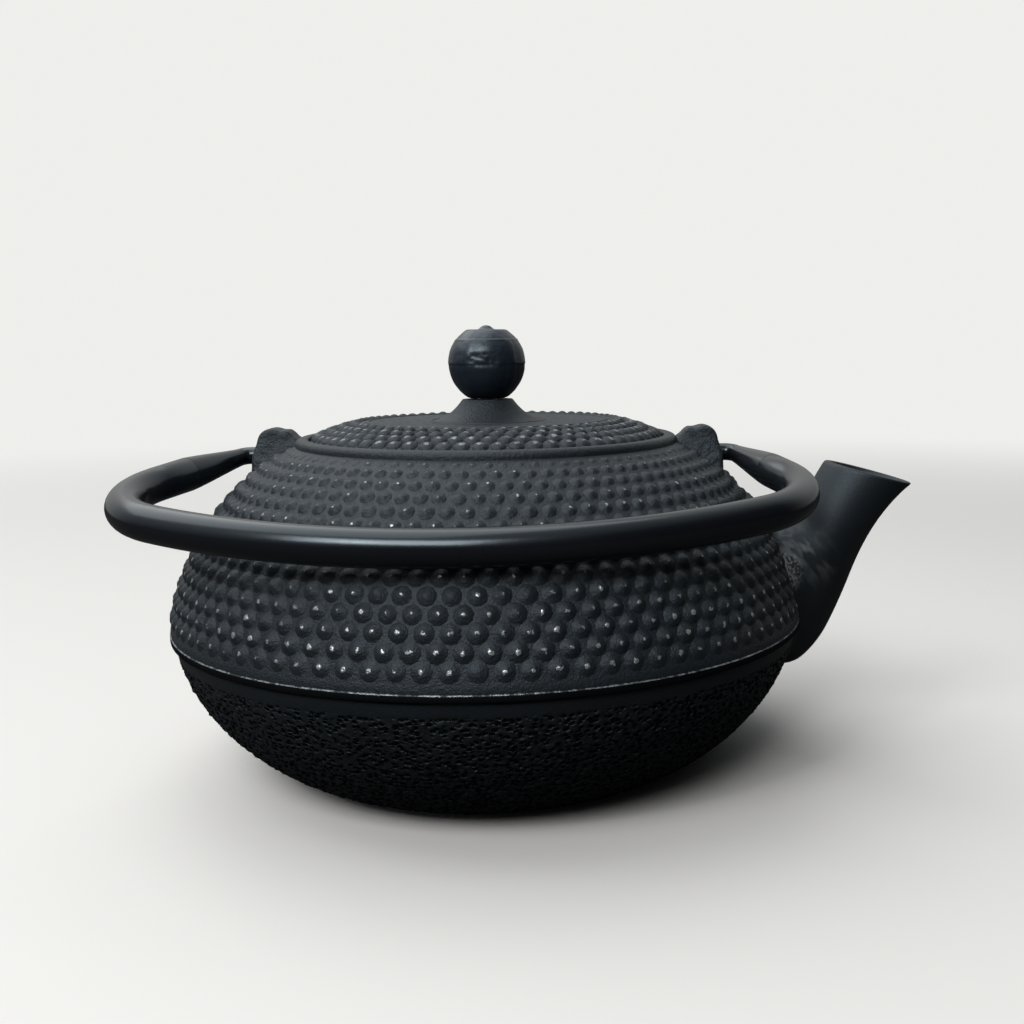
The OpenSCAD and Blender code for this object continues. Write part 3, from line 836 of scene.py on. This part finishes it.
class TEAPOT_OT_shoulder(PieceOperator, bpy.types.Operator):
    """Model the ridge, the shoulder and the collar of the casting"""

    bl_idname = "teapot.shoulder"
    bl_label = "Shoulder and collar"

    def build(self, s, c):
        ridge_round = 0.4 * MM
        collar_round = 1.4 * MM
        recess_round = 0.5 * MM
        skin_step, lining_step = 0.9 * MM, 4 * MM
        low, high = s.ridge_height - s.ridge_band, s.ridge_height
        inner_start = Vector((s.ridge_radius - s.ridge_step - s.wall, low))
        ridge_x = s.ridge_radius - ridge_round
        ridge = (arc((ridge_x, low + ridge_round), ridge_round, -90, 0, 3)
                 + arc((ridge_x, high - ridge_round), ridge_round, 0, 70, 3))
        skin = [p for p in even(shoulder_outline(s), skin_step) if p.y > high + 0.2 * MM]
        collar = (arc((s.collar_radius - collar_round, s.collar_height - collar_round),
                      collar_round, 0, 90, 6)
                  + arc((s.recess_radius + recess_round, s.collar_height - recess_round),
                        recess_round, 90, 180, 4))
        under = s.ledge_height - s.wall
        inner = [p for p in inset(even(shoulder_outline(s), lining_step), s.wall) if p.y < under]
        ledge = corners((s.recess_radius, s.ledge_height), (s.mouth_radius, s.ledge_height),
                        (s.mouth_radius, under))
        obj = spun("pot_shoulder", [inner_start, *ridge, *skin, *collar, *ledge, *reversed(inner),
                                    inner_start], 480)
        ground = group(obj, "ground", lambda co: band(
            co.z, high + 1 * MM, s.collar_height - s.collar_rise, 1 * MM))
        displace(obj, clouds("casting", 3 * MM), 0.16 * MM, 0.5, ground)
        cut(obj, spout_bore(s))
        store(obj, "tip", lambda co: 0.94 if radius_of(co) > s.ridge_radius - 0.7 * MM
              and abs(co.z - high) < 0.25 * MM else 0.0)
        # The ridge's upright band takes the bowl's iron, with its painted shade.
        cover(obj, RIDGE, lambda at, normal: at.z < high - 0.3 * MM)
        cover(obj, LINING, lambda at, normal: at.z < under + 0.1 * MM
              and normal.dot(Vector((at.x, at.y, 0))) < 0)
        finish(obj, 40, "pot", [iron_material("shoulder_iron", c, worn=0.5),
                                        enamel_material("collar_lining", c),
                                        bowl_material("ridge_iron", c, s)])


def spout_bore(s):
    """Solid of the spout's bore where it goes through the wall."""
    spout = Spout(s)
    rings = [spout.ring(t, s.wall - 0.9 * MM, lift) for t, lift in ((0, -8 * MM), (0, 0), (0.3, 0))]
    obj = tube("bore", rings, SPOUT_SIDES)
    with editing(obj):
        bpy.ops.mesh.select_non_manifold()
        bpy.ops.mesh.edge_face_add()
        outward()
    return obj


class TEAPOT_OT_spout(PieceOperator, bpy.types.Operator):
    """Model the spout, from its flared root to its thin lip, and its bore"""

    bl_idname = "teapot.spout"
    bl_label = "Spout"

    def build(self, s, c):
        spout = Spout(s)
        lip, round_lip, wall, sink = 1.9 * MM, 0.35 * MM, 2.6 * MM, 2 * MM
        skin = bowl_outline(s) + shoulder_outline(s)
        root = spout.between(Vector((76.6, 21.9)) * MM, off_skin(skin, 63.0 * MM, 0), 19.5 * MM)
        fan = [spout.between(spout.low(t), off_skin(skin, z * MM, off * MM), half_width * MM)
               for t, z, off, half_width in ((0.10, 61.6, 0.30, 17.3), (0.17, 60.7, 0.80, 15.6),
                                             (0.24, 60.3, 1.45, 14.3), (0.32, 60.5, 2.20, 13.2))]
        neck = [spout.ring(t) for t in (0.5, 0.6, 0.7, 0.8, 0.88, 0.94, 0.98)]
        mouth = [spout.ring(1, 0, -round_lip), spout.ring(1, round_lip, 0),
                 spout.ring(1, lip - round_lip, 0), spout.ring(1, lip, -round_lip)]
        bore = [spout.ring(t, wall) for t in (0.94, 0.85, 0.7, 0.55, 0.4, 0.25, 0.1)]
        bore.append(spout.ring(0, wall, 0.6 * MM))
        sunk_ring = (root[0] - Vector((sink, 0)), *root[1:])
        obj = tube("spout", [sunk_ring, root, *fan, *neck, *mouth, *bore], SPOUT_SIDES)
        guide = spun("guide", skin, 128)
        ends = obj.vertex_groups.new(name="root_rings")
        ends.add(list(range(2 * SPOUT_SIDES)), 1.0, "REPLACE")
        modify(obj, "SHRINKWRAP", target=guide, vertex_group=ends.name,
               wrap_method="NEAREST_SURFACEPOINT", wrap_mode="ON_SURFACE")
        bpy.data.objects.remove(guide)
        # Both end rings are sunk into the casting
        last = len(obj.data.vertices) - SPOUT_SIDES
        choose(obj, lambda vertex: not SPOUT_SIDES <= vertex.index < last)
        with editing(obj, None):
            bpy.ops.transform.translate(value=(-sink, 0, 0))
        modify(obj, "SUBSURF", levels=2, render_levels=2)
        with editing(obj):
            bpy.ops.mesh.select_non_manifold()
            bpy.ops.mesh.bridge_edge_loops()
            outward()
        for name, middle, size in (("root", Vector((78, 14, 53)) * MM, 13 * MM),
                                   ("rubbed", Vector((74, 17, 51)) * MM, 8 * MM)):
            store(obj, name, lambda co: 1 - ramp(
                (Vector((co.x, abs(co.y), co.z)) - middle).length, 0.25 * size, size))
        finish(obj, 60, "pot", [spout_material("spout_iron", c)])


class TEAPOT_OT_ears(PieceOperator, bpy.types.Operator):
    """Model the two ears that carry the bail"""

    bl_idname = "teapot.ears"
    bl_label = "Ears"

    def build(self, s, c):
        for name, side in (("ear_left", -1), ("ear_right", 1)):
            obj = self.ear(name, s)
            if side < 0:
                pick(obj)
                bpy.ops.transform.mirror(constraint_axis=(True, False, False),
                                         center_override=(0, 0, 0))
                settle(obj)
                with editing(obj):
                    outward()
            finish(obj, 35, "pot", [iron_material(name + "_iron", c, roughness=0.56)])

    @staticmethod
    def ear(name, s):
        """One ear on the right: slabs that widen downwards, melted together and bored."""
        reach = s.collar_radius + s.ear_reach
        start = s.collar_radius - 0.7 * MM
        knuckle_round, heel_round = 3.9 * MM, 1.6 * MM
        knuckle = Vector((reach - 5.1 * MM, s.collar_height - 1.7 * MM))
        heel = Vector((s.collar_radius + 3.2 * MM, s.collar_height + 0.2 * MM))
        seat = [p for p in inset(shoulder_outline(s), 0.5 * s.wall) if start < p.x < reach]
        outline = [*corners((reach, seat[0].y), (reach, HINGE_Z)),
                   *arc(knuckle, knuckle_round, 0, 130, 12), *arc(heel, heel_round, 47, 170, 8),
                   Vector((start, s.collar_height - 1.2 * MM)), *reversed(seat)]
        slabs = []
        for over_hinge, half_width in (
                (math.inf, 3.7), (3.4, 4.2), (1.4, 4.7), (-0.8, 5.2), (-3.0, 5.7)):
            top, half = HINGE_Z + over_hinge * MM, half_width * MM
            slab = draw(name, [Vector((p.x, half, min(p.y, top))) for p in outline])
            with editing(slab, "SELECT"):
                bpy.ops.mesh.remove_doubles(threshold=WELD)
                bpy.ops.mesh.edge_face_add()
                extrude((0, -2 * half, 0))
                outward()
            slabs.append(slab)
        obj = pick(*slabs)
        bpy.ops.object.join()
        modify(obj, "REMESH", mode="VOXEL", voxel_size=0.4 * MM)
        modify(obj, "SMOOTH", factor=0.5, iterations=34)
        displace(obj, clouds(name + "_cast", 2.6 * MM), 0.35 * MM, 0.6)
        return cut(obj, added(bpy.ops.mesh.primitive_cylinder_add, vertices=40,
                              radius=s.peg_radius + 0.1 * MM, depth=12 * MM,
                              rotation=(0, math.radians(90), 0),
                              location=(reach + 0.7 * MM, 0, HINGE_Z)))


class TEAPOT_OT_hobnails(PieceOperator, bpy.types.Operator):
    """Set the rows of hobnails on the shoulder and on the lid's band"""

    bl_idname = "teapot.hobnails"
    bl_label = "Hobnails"

    def build(self, s, c):
        first_height, last_height, last_size = 0.76, 0.35, 0.5
        ear_width, ear_depth = 6.2 * MM, 10.5 * MM
        root_z, root_width, root_height = 38 * MM, 21.5 * MM, 22.5 * MM
        less_worn, worn_z, fresh_z = 0.09, 50 * MM, 62 * MM
        shoulder = shoulder_outline(s)
        rows = []
        for i in range(s.nail_rows):
            distance = s.nail_start + i * s.nail_gap
            share = along(shoulder, distance)[0].x / s.ridge_radius
            height = s.nail_height * (first_height if i == 0 else min(1.0, share + 0.12))
            rows.append((distance, s.nail_radius * share, height))
        rows.append((rows[-1][0] + 0.9 * s.nail_gap, last_size * s.nail_radius,
                     last_height * s.nail_height))

        def clear(place):
            """Whether a hobnail would stand in an ear or in the spout."""
            near_ear = abs(place.y) < ear_width and place.z > HINGE_Z - ear_depth
            near_spout = place.x > 0 and math.hypot(
                place.y / root_width, (place.z - root_z) / root_height) < 1
            return near_ear or near_spout

        obj = copies("shoulder_hobnails", nail_model(NAIL_PROFILE),
                     nail_places(shoulder, rows, s.nail_count, clear))
        displace(obj, clouds("hobnail_lumps", 1.3 * MM), 0.34 * MM, 0.5)
        tips = obj.data.attributes["tip"].data
        for vertex in obj.data.vertices:
            tips[vertex.index].value *= 1 - less_worn * ramp(vertex.co.z, worn_z, fresh_z)
        finish(obj, 75, "pot", [iron_material("hobnail_iron", c, worn=0.9)])
        lid_rows = [(distance * MM, size * MM, s.lid_nail_height)
                    for distance, size in ((2.0, 2.1), (5.15, 2.0), (8.3, 1.85), (11.4, 1.65))]
        obj = copies("lid_hobnails", nail_model(LID_NAIL_PROFILE),
                     nail_places(lid_band_outline(s), lid_rows, s.lid_nail_count,
                                 lambda place: False))
        finish(obj, 75, "lid", [iron_material("lid_hobnail_iron", c, worn=0.4)])


class TEAPOT_OT_lid(PieceOperator, bpy.types.Operator):
    """Model the lid with its rings, grainy middle and boss"""

    bl_idname = "teapot.lid"
    bl_label = "Lid"

    def build(self, s, c):
        seat_z = LID_LOW.z + s.lid_seat
        top_z = seat_z + s.lid_edge
        field_z = top_z + s.lid_rise
        under_z = field_z - s.wall
        edge_round = 0.35 * MM
        edge = corners((LID_HIGH.x - edge_round, seat_z), (LID_HIGH.x, seat_z + edge_round),
                       (LID_HIGH.x, top_z - 0.2 * MM))
        hobnail_band = even(lid_band_outline(s), 0.9 * MM)
        line = raised_line(s.field_radius - 0.5 * MM, field_z, 1.0 * MM, 0.3 * MM)
        inner_line = raised_line(s.flare_radius + 0.6 * MM, field_z, 0.9 * MM, 0.22 * MM)
        field = [Vector((r, field_z)) for r in
                 steps_between(line[-1].x - 0.3 * MM, inner_line[0].x + 0.3 * MM, 0.7 * MM)]
        run = s.flare_radius - s.boss_radius
        rise = LID_HIGH.z - field_z
        flare = cubic(*corners((s.flare_radius, field_z),
                               (s.flare_radius - 0.47 * run, field_z + 0.11 * rise),
                               (s.boss_radius + 0.22 * run, field_z + 0.54 * rise),
                               (s.boss_radius, LID_HIGH.z - 0.25 * MM)), 14)
        ring, ring_wall, ring_round = 36.8 * MM, 3 * MM, 0.3 * MM
        inside = corners((s.boss_radius - 0.25 * MM, LID_HIGH.z), (s.lid_hole, LID_HIGH.z),
                         (s.lid_hole, under_z), (ring - ring_wall, under_z),
                         (ring - ring_wall, LID_LOW.z + ring_round),
                         (ring - 2.6 * MM, LID_LOW.z), (ring - 0.4 * MM, LID_LOW.z),
                         (ring, LID_LOW.z + ring_round), (ring, seat_z))
        outline = edge + hobnail_band[1:-1] + line + field + inner_line + flare + inside + edge[:1]
        obj = spun("lid_plate", outline, 360)
        grain_start, grain_end, fade = 15.4 * MM, 29.8 * MM, 0.6 * MM
        grain = group(obj, "grain", lambda co: band(radius_of(co), grain_start, grain_end, fade)
                      if co.z > field_z - 0.3 * MM else 0)
        displace(obj, clouds("grain", 1.6 * MM, 3), 0.5 * MM, 0.5, grain)
        finish(obj, 35, "lid", [iron_material("lid_iron", c, grain=0.3 * MM)], ["lid"])


def steps_between(start, end, spacing):
    """Evenly spaced numbers from start to end."""
    steps = max(1, round(abs(end - start) / spacing))
    return [start + (end - start) * i / steps for i in range(steps + 1)]


def raised_line(radius, z, width, height):
    """Outline of a fine rounded ring, from its outer to its inner side."""
    return [Vector((radius - 0.5 * width * math.cos(math.radians(a)),
                    z + height * math.sin(math.radians(a)))) for a in range(180, -1, -30)]


class TEAPOT_OT_knob(PieceOperator, bpy.types.Operator):
    """Model the cast knob with its ribs, parting line and crown"""

    bl_idname = "teapot.knob"
    bl_label = "Knob"

    def build(self, s, c):
        ball = KNOB_HIGH.y
        foot = 4.7 * MM
        centre = Vector((0, KNOB_LOW.z + math.sqrt(ball ** 2 - foot ** 2)))
        step = 8.0 * MM
        crown = 5.1 * MM
        crown_z = KNOB_HIGH.z - 1 * MM
        foot_turn = -math.degrees(math.acos(foot / ball))
        step_turn = math.degrees(math.acos(step / ball))
        seam, below_seam, hollow = 1.5, 0.985, 0.984
        lower = arc(centre, ball * below_seam, foot_turn, -seam, 16)
        upper = arc(centre, ball, 0, step_turn, 14)
        step_z = upper[-1].y
        top = corners((step - 0.35 * MM, step_z + 0.1 * MM), (step - 0.5 * MM, step_z + 0.45 * MM),
                      (crown + 0.25 * MM, crown_z - 0.25 * MM), (crown - 0.2 * MM, crown_z),
                      (2.4 * MM, crown_z - 0.15 * MM), (1.7 * MM, crown_z + 0.15 * MM),
                      (1.3 * MM, crown_z + 0.7 * MM), (0.6 * MM, KNOB_HIGH.z - 0.05 * MM),
                      (0, KNOB_HIGH.z))
        hole, hole_top = 2.53 * MM, KNOB_LOW.z + 9 * MM
        bottom = corners((0, hole_top), (hole, hole_top), (hole, KNOB_LOW.z))
        obj = spun("knob", bottom + lower + upper + top, 120)
        ribs, first_rib, half_rib = 5, 28, 7.6

        def panel(vertex):
            """Whether a vertex lies in one of the hollows between the ribs."""
            co = vertex.co
            if co.z < KNOB_LOW.z + 1.2 * MM or co.z > step_z - 0.3 * MM or radius_of(co) < foot:
                return False
            offset = (math.degrees(math.atan2(co.y, co.x)) + 90 + first_rib) % (360 / ribs)
            return half_rib < offset < 360 / ribs - half_rib

        choose(obj, panel)
        with editing(obj, None):
            bpy.ops.transform.resize(value=(hollow, hollow, 1), center_override=(0, 0, centre.y))
        lumps = group(obj, "lumps", lambda co: band(
            co.z, KNOB_LOW.z + 2 * MM, crown_z - 1 * MM, 1 * MM) * (radius_of(co) > foot))
        displace(obj, clouds("lumps", 5 * MM), 0.3 * MM, 0.65, lumps)
        flash = group(obj, "flash", lambda co: (
            band(co.z, centre.y - 1 * MM, centre.y + 3.2 * MM, 1 * MM) * (radius_of(co) > foot)
            * (0.15 + 0.85 * ramp(-co.y / ball, 0.86, 0.97))))
        displace(obj, clouds("flash", 1.3 * MM, 3), 0.8 * MM, 0.9, flash)
        modify(obj, "SUBSURF", levels=1, render_levels=1)
        finish(obj, 60, "knob",
               [paint_material("knob_paint", c, c.knob, 0.36, 0.12 * MM, 1.6 * MM)], ["lid_knob"])


class TEAPOT_OT_bail(PieceOperator, bpy.types.Operator):
    """Model the bail's tube and its two tapered ends"""

    bl_idname = "teapot.bail"
    bl_label = "Bail"

    def build(self, s, c):
        left, left_arm = self.half_line(s, s.bail_left, s.bail_front_shift)
        right, right_arm = self.half_line(s, s.bail_right, -s.bail_front_shift)
        line = right + [Vector((-p.x, p.y)) for p in reversed(left[:-1])]
        obj = bar("bail", [self.rest(p) for p in line], [s.bail_radius] * len(line), 14, False)
        modify(obj, "SOLIDIFY", thickness=s.bail_wall, offset=-1.0)
        modify(obj, "BEVEL", width=0.15 * MM, segments=2, limit_method="ANGLE",
               angle_limit=math.radians(50))
        paint = paint_material("bail_paint", c, c.bail, 0.22, 0.010 * MM, 1.2 * MM)
        finish(obj, 40, "bail", [paint], ["bail_tube"])
        for name, side, arm_turn in (("bail_end_left", -1, left_arm), ("bail_end_right", 1, right_arm)):
            path, radii = self.end_line(s, arm_turn)
            points = [self.rest(Vector((side * p.x, p.y))) for p in path]
            finish(bar(name + "_taper", points, radii, 10, True), 40, "bail",
                   [paint], [name])

    @staticmethod
    def elbow(s):
        """Where the bail's arm meets its peg."""
        return Vector((s.collar_radius + s.ear_reach + s.peg_gap + s.peg_radius, 0))

    def half_line(self, s, half, shift):
        """Centre line of one half, from the tube's end to its front, and the arm's turn."""
        elbow = self.elbow(s)
        behind_ridge = 5 * MM
        front = Vector((shift, s.ridge_radius - behind_ridge - s.bail_front_bend))
        corner_x = half - s.bail_corner_bend
        corner = Vector((corner_x, front.y + math.sqrt(
            (s.bail_front_bend - s.bail_corner_bend) ** 2 - (corner_x - shift) ** 2)))
        front_turn = math.degrees(math.atan2(corner.x - shift, corner.y - front.y))
        way = corner - elbow
        arm_turn = (math.degrees(math.atan2(way.y, way.x))
                    - math.degrees(math.asin(s.bail_corner_bend / way.length)))
        line = ([elbow + s.bail_end_length * heading(arm_turn)]
                + arc(corner, s.bail_corner_bend, arm_turn - 90, 90 - front_turn, 30)
                + arc(front, s.bail_front_bend, 90 - front_turn, 90, 26)[1:])
        return line, arm_turn

    def end_line(self, s, arm_turn):
        """Centre line and radii of one tapered end, from its peg to the plug in the tube."""
        elbow = self.elbow(s)
        arm = heading(arm_turn)
        peg_depth, bend, plug_depth, plug_gap = 5.2 * MM, 3.2 * MM, 8 * MM, 0.03 * MM
        peg_end = elbow.x - (s.peg_gap + s.peg_radius + peg_depth)
        tangent = bend * math.tan(math.radians(arm_turn / 2))
        path = corners((peg_end, 0), (peg_end + 0.3 * MM, 0), (elbow.x - tangent, 0))
        path += arc((elbow.x - tangent, bend), bend, -90, arm_turn - 90, 8)[1:]
        radii = [s.peg_radius - 0.3 * MM] + [s.peg_radius] * (len(path) - 1)
        swell = 12
        first = tangent + 0.4 * MM
        for i in range(swell + 1):
            share = i / swell
            path.append(elbow + (first + (s.bail_end_length - first) * share) * arm)
            radii.append(s.peg_radius + (s.bail_radius - s.peg_radius) * ease(share))
        plug = s.bail_radius - s.bail_wall - plug_gap
        tube_end = elbow + s.bail_end_length * arm
        path += [tube_end + 0.01 * MM * arm, tube_end + plug_depth * arm]
        radii += [plug, plug]
        return path, radii

    @staticmethod
    def rest(p):
        """Place of a point of the bail's plane when the bail is folded to the front."""
        tilt = math.radians(BAIL_TILT)
        return Vector((p.x, -p.y * math.cos(tilt), HINGE_Z - p.y * math.sin(tilt)))


def ease(share):
    """A swelling that starts slowly and ends slowly."""
    return 0.35 * ramp(share, -0.12, 1.0) + 0.65 * share


def bar(name, points, radii, resolution, capped):
    """A round bar along a path, its radius given at each point."""
    obj = draw(name, points)
    bpy.ops.object.convert(target="CURVE")
    obj = bpy.context.object
    curve = obj.data
    curve.dimensions = "3D"
    curve.twist_mode = "Z_UP"
    curve.bevel_depth = 1.0
    curve.bevel_resolution = resolution
    curve.use_fill_caps = capped
    made = curve.splines[0].points
    first = made[0].co.xyz
    if (first - points[0]).length > (first - points[-1]).length:
        radii = radii[::-1]
    for point, radius in zip(made, radii):
        point.radius = radius
    pick(obj)
    bpy.ops.object.convert(target="MESH")
    obj = named(bpy.context.object, name)
    with editing(obj, "SELECT"):
        bpy.ops.mesh.remove_doubles(threshold=WELD)
        outward()
    return obj


class TEAPOT_OT_infuser(PieceOperator, bpy.types.Operator):
    """Model the infuser's rim, woven sleeve, woven floor and bottom band"""

    bl_idname = "teapot.infuser"
    bl_label = "Infuser"

    def build(self, s, c):
        steel = steel_material("infuser_steel", c)
        wire = steel_material("infuser_wire", c, roughness=0.34)
        skirt = BAND_HIGH.x
        sheet = 0.6 * MM
        curl = 0.4 * MM
        rim = [*corners((skirt - sheet, RIM_LOW.z), (skirt, RIM_LOW.z)),
               *arc((skirt + 0.5 * MM, RIM_HIGH.z - 2 * curl - 0.5 * MM), 0.5 * MM, 180, 90, 4),
               *arc((RIM_HIGH.x - curl, RIM_HIGH.z - curl), curl, -90, 90, 6),
               *arc((skirt + 0.2 * MM, RIM_HIGH.z - 0.8 * MM), 0.8 * MM, 90, 180, 4)]
        edge, lip = 0.3 * MM, 34.2 * MM
        low, high = BAND_LOW.z, BAND_HIGH.z
        ring = corners((lip, low), (skirt - edge, low), (skirt, low + edge), (skirt, high),
                       (skirt - sheet, high), (skirt - sheet, low + sheet + edge),
                       (skirt - sheet - edge, low + sheet), (lip, low + sheet))
        for name, outline in (("infuser_rim", rim), ("infuser_band", ring)):
            finish(spun(name + "_ring", outline + outline[:1], 192), 35, "infuser",
                   [steel], [name])
        radius = SLEEVE_HIGH.x - s.wire / 2
        self.woven(self.sleeve(s, radius), s, wire, "infuser_sleeve")
        self.woven(self.floor(s, radius), s, wire, "infuser_floor")

    @staticmethod
    def sleeve(s, radius):
        """A round grid for the sleeve."""
        rows = steps_between(SLEEVE_LOW.z + s.wire / 2, SLEEVE_HIGH.z - s.wire / 2, s.mesh_pitch)
        return spun("infuser_mesh_sleeve", [Vector((radius, z)) for z in rows],
                    round(math.tau * radius / s.mesh_pitch), closed=False)

    @staticmethod
    def floor(s, radius):
        """A flat grid for the floor, trimmed to a disc."""
        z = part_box("infuser_floor")[0].z + s.wire / 2
        cells = 2 * math.ceil(radius / s.mesh_pitch)
        obj = named(added(bpy.ops.mesh.primitive_grid_add, x_subdivisions=cells,
                          y_subdivisions=cells, size=cells * s.mesh_pitch, location=(0, 0, z)),
                    "infuser_mesh_floor")
        choose(obj, lambda vertex: radius_of(vertex.co) > radius)
        with editing(obj, None):
            bpy.ops.mesh.delete(type="VERT")
        return obj

    @staticmethod
    def woven(obj, s, material, replaced):
        """Turns each edge of a grid into a wire."""
        modify(obj, "WIREFRAME", thickness=s.wire, offset=0.0, use_even_offset=False,
               use_replace=True, use_boundary=True)
        finish(obj, 60, "infuser", [material], [replaced])


class TEAPOT_OT_fixings(PieceOperator, bpy.types.Operator):
    """Finish the rivet and the washer that hold the knob"""

    bl_idname = "teapot.fixings"
    bl_label = "Rivet and washer"

    def build(self, s, c):
        steel = steel_material("rivet_steel", c, roughness=0.36, lengthways=1.0)
        for name in ("knob_rivet", "knob_washer"):
            node = frame["nodes"][name]
            node.data.materials.clear()
            node.data.materials.append(steel)


class TEAPOT_OT_stage(PieceOperator, bpy.types.Operator):
    """Set the floor, the backdrop, the lamps and the camera"""

    bl_idname = "teapot.stage"
    bl_label = "Stage"

    def build(self, s, c):
        self.floor(c)
        self.world(c)
        self.lamps()
        self.camera()

    @staticmethod
    def floor(c):
        """A wide disc that is pale where seen and fades into the backdrop, and that is dark to all
        other rays, as painted shade under the teapot.
        """
        floor = added(bpy.ops.mesh.primitive_circle_add, vertices=96, radius=6.0,
                      fill_type="NGON", location=(0, 0, -0.2 * MM))
        floor.name = "floor"
        material, g = new_graph("floor")
        seen = g.ray("Camera")
        pale = g.node("BsdfDiffuse", {"Color": rgba(c.floor)})
        # Floor at 7% of its colour for all rays except camera rays: painted shade under the teapot.
        shaded_bounce = g.node("BsdfDiffuse", {"Color": rgba(c.floor, 0.07)})
        plain = g.node("Emission", {"Color": rgba(c.backdrop), "Strength": 1.0})
        distance = g.node("VectorMath", {0: g.place()}, 1, operation="LENGTH")
        far = g.soft_step(distance, 0.35, 1.1)
        g.output(g.blend(far * seen, g.blend(seen, shaded_bounce, pale), plain))
        floor.data.materials.append(material)

    @staticmethod
    def world(c):
        """Light from above on the left, and the backdrop wherever it is seen or reflected."""
        bpy.context.scene.world = bpy.data.worlds.new("studio")
        g = Graph(bpy.context.scene.world)
        way = g.node("TexCoord", out="Generated")
        above = g.node("VectorMath", {0: way, 1: (-0.42, 0.10, 0.90)}, 1, operation="DOT_PRODUCT")
        behind = g.soft_step(g.axis(way, "Y"), -0.1, 0.6)
        high = g.soft_step(g.axis(way, "Z"), 0.1, 0.6)
        light = g.node("Background", {"Color": (0.93, 0.97, 1.0, 1),
                                      "Strength": 0.02 + 0.6 * g.soft_step(above, 0.15, 0.98)})
        pale = g.node("Background", {"Color": rgba(c.backdrop), "Strength": 1.0})
        share = (g.ray("Camera") + g.ray("Transmission")
                 + g.ray("Glossy") * behind * (0.45 + 0.5 * high))
        g.output(g.blend(share, light, pale), "World")

    @staticmethod
    def lamps():
        """Area lamps, each (place, width and height, power), turned to the teapot."""
        for name, place, size, power in (("overhead", (-0.45, 0.25, 1.1), (1.3, 1.3), 10.0),
                                         ("softbox", (-0.40, -1.02, 0.92), (0.9, 0.55), 15.0),
                                         ("spark", (-0.45, -0.85, 0.75), (0.07, 0.07), 0.8)):
            bpy.ops.object.light_add(type="AREA", location=place)
            lamp = bpy.context.object
            lamp.name = name
            lamp.data.shape = "RECTANGLE"
            lamp.data.size, lamp.data.size_y = size
            lamp.data.energy = power
            way = Vector((0, 0, 0.04)) - Vector(place)
            lamp.rotation_euler = way.to_track_quat("-Z", "Y").to_euler()

    @staticmethod
    def camera():
        """The camera in front, a little to the right."""
        focal_pixels, frame_pixels, centre_pixels = 1200.84, 1024, 600
        bpy.ops.object.camera_add(location=(28.63 * MM, -309.53 * MM, 107.61 * MM))
        camera = bpy.context.object
        camera.name = "camera"
        pitch = Matrix.Rotation(math.radians(90 - 8.13), 4, "X")
        roll = Matrix.Rotation(math.radians(-0.47), 4, "Z")
        camera.rotation_euler = (pitch @ roll).to_euler()
        camera.data.lens = focal_pixels / frame_pixels * camera.data.sensor_width
        camera.data.shift_x = (frame_pixels / 2 - centre_pixels) / frame_pixels
        camera.data.clip_start = 0.01
        bpy.context.scene.camera = camera
        bpy.context.scene.view_settings.view_transform = "Standard"


class TEAPOT_PT_panel(bpy.types.Panel):
    """Lists the teapot's operators and sizes"""

    bl_label = "Teapot"
    bl_idname = "TEAPOT_PT_panel"
    bl_space_type = "VIEW_3D"
    bl_region_type = "UI"
    bl_category = "Teapot"

    def draw(self, context):
        for operator in OPERATORS:
            self.layout.operator(operator.bl_idname)
        for settings in (context.scene.teapot_sizes, context.scene.teapot_colours):
            for key in settings.bl_rna.properties.keys():
                if key not in ("rna_type", "name"):
                    self.layout.prop(settings, key)


OPERATORS = (TEAPOT_OT_bowl, TEAPOT_OT_shoulder, TEAPOT_OT_spout, TEAPOT_OT_ears,
             TEAPOT_OT_hobnails, TEAPOT_OT_lid, TEAPOT_OT_knob, TEAPOT_OT_bail,
             TEAPOT_OT_infuser, TEAPOT_OT_fixings, TEAPOT_OT_stage)
CLASSES = (TeapotSizes, TeapotColours, *OPERATORS, TEAPOT_PT_panel)


def register():
    for cls in CLASSES:
        bpy.utils.register_class(cls)
    bpy.types.Scene.teapot_sizes = PointerProperty(type=TeapotSizes)
    bpy.types.Scene.teapot_colours = PointerProperty(type=TeapotColours)


def unregister():
    del bpy.types.Scene.teapot_colours
    del bpy.types.Scene.teapot_sizes
    for cls in reversed(CLASSES):
        bpy.utils.unregister_class(cls)


def main():
    register()
    for operator in OPERATORS:
        getattr(bpy.ops.teapot, operator.bl_idname.split(".")[1])()


if __name__ == "__main__":
    main()
